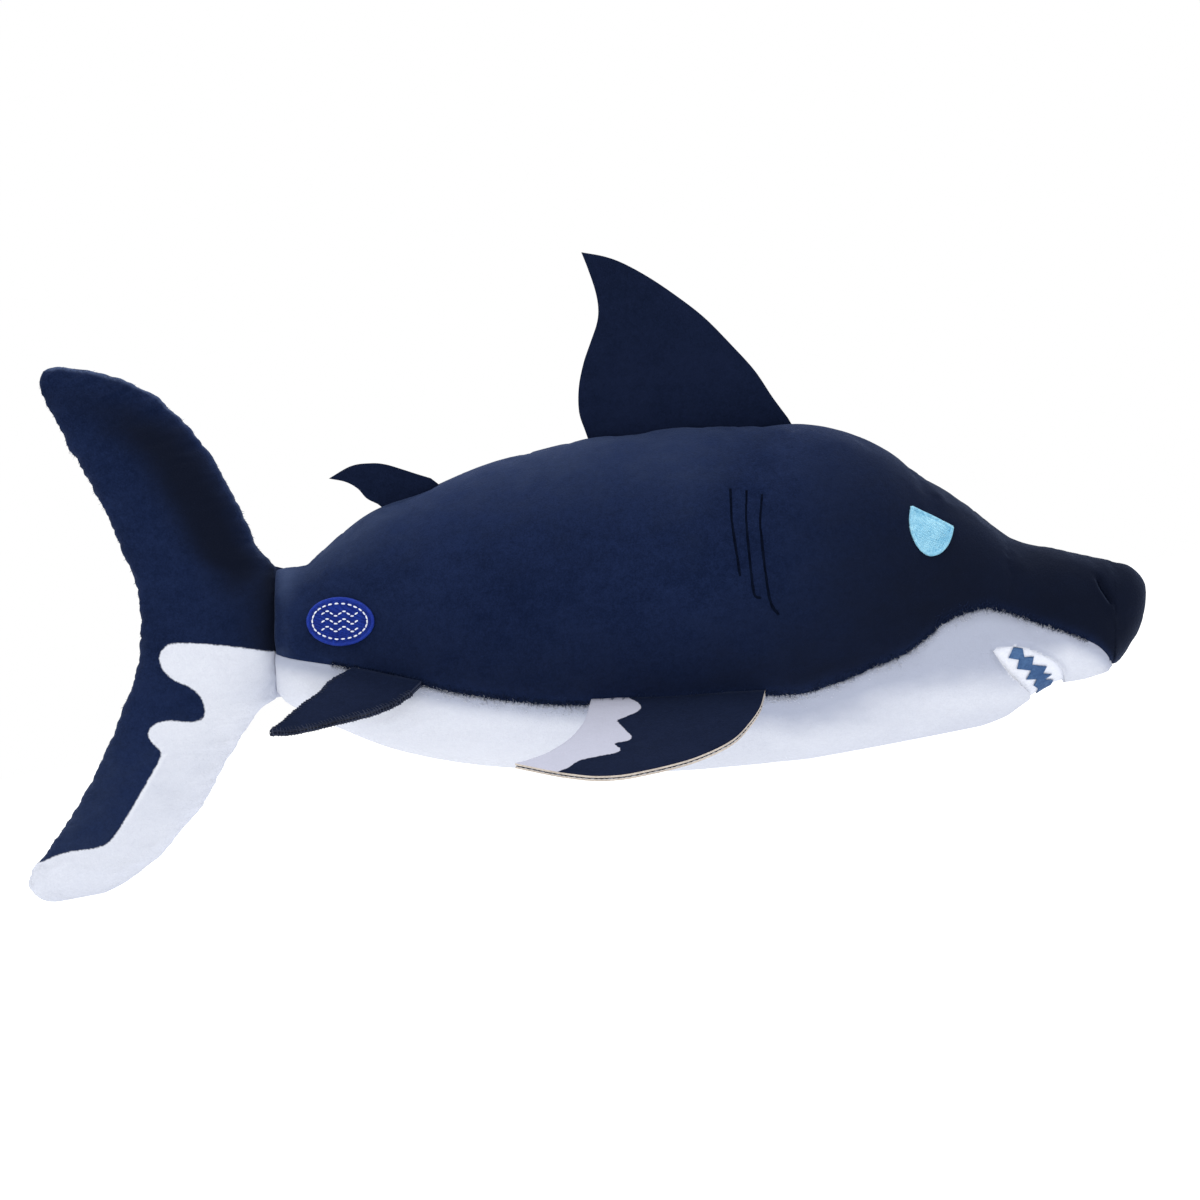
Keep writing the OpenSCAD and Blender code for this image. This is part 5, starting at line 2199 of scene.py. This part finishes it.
@dataclass
class CareLabel:
    """A blank satin label sewn into the left belly seam."""

    kit: MeshKit
    width: float = 18.0
    drop: float = 26.0

    def build(self) -> Piece:
        """Makes the label, hanging with a soft curl.

        Returns:
            The piece.
        """
        low, high = (np.array(p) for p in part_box("care_label"))
        corner = self.kit.level(np.stack([low, high]))
        top = np.array([corner[:, 0].mean(), 44.6, 33.0])
        u = np.linspace(-self.width / 2, self.width / 2, 15)
        v = np.linspace(0, self.drop, 21)
        uu, vv = np.meshgrid(u, v)
        curl = 1.6 * np.sin(vv / self.drop * 2.2) * (1 + 0.3 * np.sin(uu / 4))
        x = top[0] + uu
        y = top[1] - vv * math.sin(math.radians(18)) + curl
        z = top[2] - vv * math.cos(math.radians(18))
        face = np.stack([x, y, z], -1)
        back = face - np.array([0, 0.35, 0])
        piece = self.kit.shell("blank_care_label", self.kit.row(face), self.kit.row(back), SATIN)
        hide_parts("care_label")
        self.width * MM
        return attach(piece, "trunk")


# ---- stage


@dataclass
class Stage:
    """Pale floor, soft lights and the camera."""

    kit: MeshKit
    middle: tuple = (4.5, 0.0, 75.6)
    view_width: float = 540.0
    distance: float = 3.0
    sensor: float = 36.0
    # Each light's name, place and side in metres, and power in watts.
    lights: tuple = (("top_softbox", (0.0, 0.15, 1.5), 1.2, 15), ("low_fill", (0.1, -2.2, 0.12), 1.2, 4))

    def floor(self) -> None:
        """A pale floor that meets a white surround."""
        bpy.ops.object.select_all(action="DESELECT")
        bpy.ops.mesh.primitive_plane_add(size=12)
        floor = bpy.context.object
        floor.name = "floor"
        bpy.ops.object.mode_set(mode="EDIT")
        bpy.ops.mesh.select_all(action="SELECT")
        bpy.ops.mesh.subdivide(number_cuts=4)
        bpy.ops.object.mode_set(mode="OBJECT")
        graph = Graph("pale_floor")
        tone = graph.noise(graph.place(), 3.0, 2.0) * 0.01 + 0.5
        colour = graph.node("ShaderNodeCombineColor", {}, {0: tone, 1: tone, 2: tone})
        floor.data.materials.append(graph.finish(
            Base_Color=colour, Roughness=0.9, Specular_IOR_Level=0.0, Emission_Color=(1.0, 1.0, 1.0),
            Emission_Strength=0.8))

    def light(self, name: str, place: tuple, size: float, watts: float) -> None:
        """A soft square light that looks at the shark.

        Args:
            name: its name.
            place: row-frame place, in metres.
            size: its side, in metres.
            watts: its power.
        """
        lamp = bpy.data.lights.new(name, "AREA")
        lamp.size = size
        lamp.energy = watts
        holder = bpy.data.objects.new(name, lamp)
        holder.location = place
        holder.rotation_euler = (Vector((0, 0, 0.1)) - Vector(place)).to_track_quat("-Z", "Y").to_euler()
        bpy.context.scene.collection.objects.link(holder)

    def surround(self) -> None:
        """An even white world."""
        world = bpy.data.worlds.new("white_room")
        world.use_nodes = True
        background = world.node_tree.nodes["Background"]
        background.inputs[0].default_value = (1.0, 1.0, 1.0, 1.0)
        background.inputs[1].default_value = 1.0
        bpy.context.scene.world = world
        bpy.context.scene.view_settings.view_transform = "Standard"

    def camera(self) -> None:
        """A long lens square to the shark's right side, rolled with its pitch."""
        lens = bpy.data.cameras.new("side_camera")
        lens.sensor_width = self.sensor
        lens.lens = self.sensor * self.distance / (self.view_width * MM)
        lens.clip_end = 30
        camera = bpy.data.objects.new("side_camera", lens)
        target = Vector(self.kit.row(np.array([self.middle]))[0])
        forward = Vector((0, 1, 0))
        up = Vector((math.sin(self.kit.pitch), 0, math.cos(self.kit.pitch)))
        right = forward.cross(up)
        frame = Matrix((right, up, -forward)).transposed().to_4x4()
        frame.translation = target - forward * self.distance
        camera.matrix_world = frame
        bpy.context.scene.collection.objects.link(camera)
        bpy.context.scene.camera = camera

    def build(self) -> None:
        """Sets the whole stage."""
        self.camera()
        self.surround()
        self.floor()
        for light in self.lights:
            self.light(*light)


def corners(box: tuple) -> list[list[float]]:
    """A box's corners as plain lists."""
    return [[float(v) for v in corner] for corner in box]


def main() -> None:
    """Builds the shark piece by piece."""
    logging.basicConfig(level=logging.INFO, format="%(message)s")
    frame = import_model()
    joints = frame["joints"]
    kit = MeshKit(joints)
    Stage(kit).build()
    trunk = Trunk(kit)
    covers = {side: trunk.back_cover(side) for side in Side}
    trunk.belly()
    trunk.felt()
    trunk.stuffing()
    LOG.info("trunk built")
    tail = Tail(kit, trunk)
    for side in Side:
        tail.cover(side)
    tail.stuffing()
    LOG.info("tail built")
    FinSet(kit).build(joints)
    stitch = StitchModel().build()
    for side, cover in covers.items():
        needle = Needlework(kit, trunk, Ground(kit, cover, side), stitch)
        needle.sew_eye()
        needle.sew_lines()
        if side is Side.RIGHT:
            needle.sew_badge()
        else:
            needle.sew_closing()
    LOG.info("embroidery built")
    fuzz = SeamFuzz(kit, trunk, tail)
    for navy in (True, False):
        fuzz.belly_seam(navy)
    fuzz.tail_edges()
    CareLabel(kit).build()


if __name__ == "__main__":
    main()
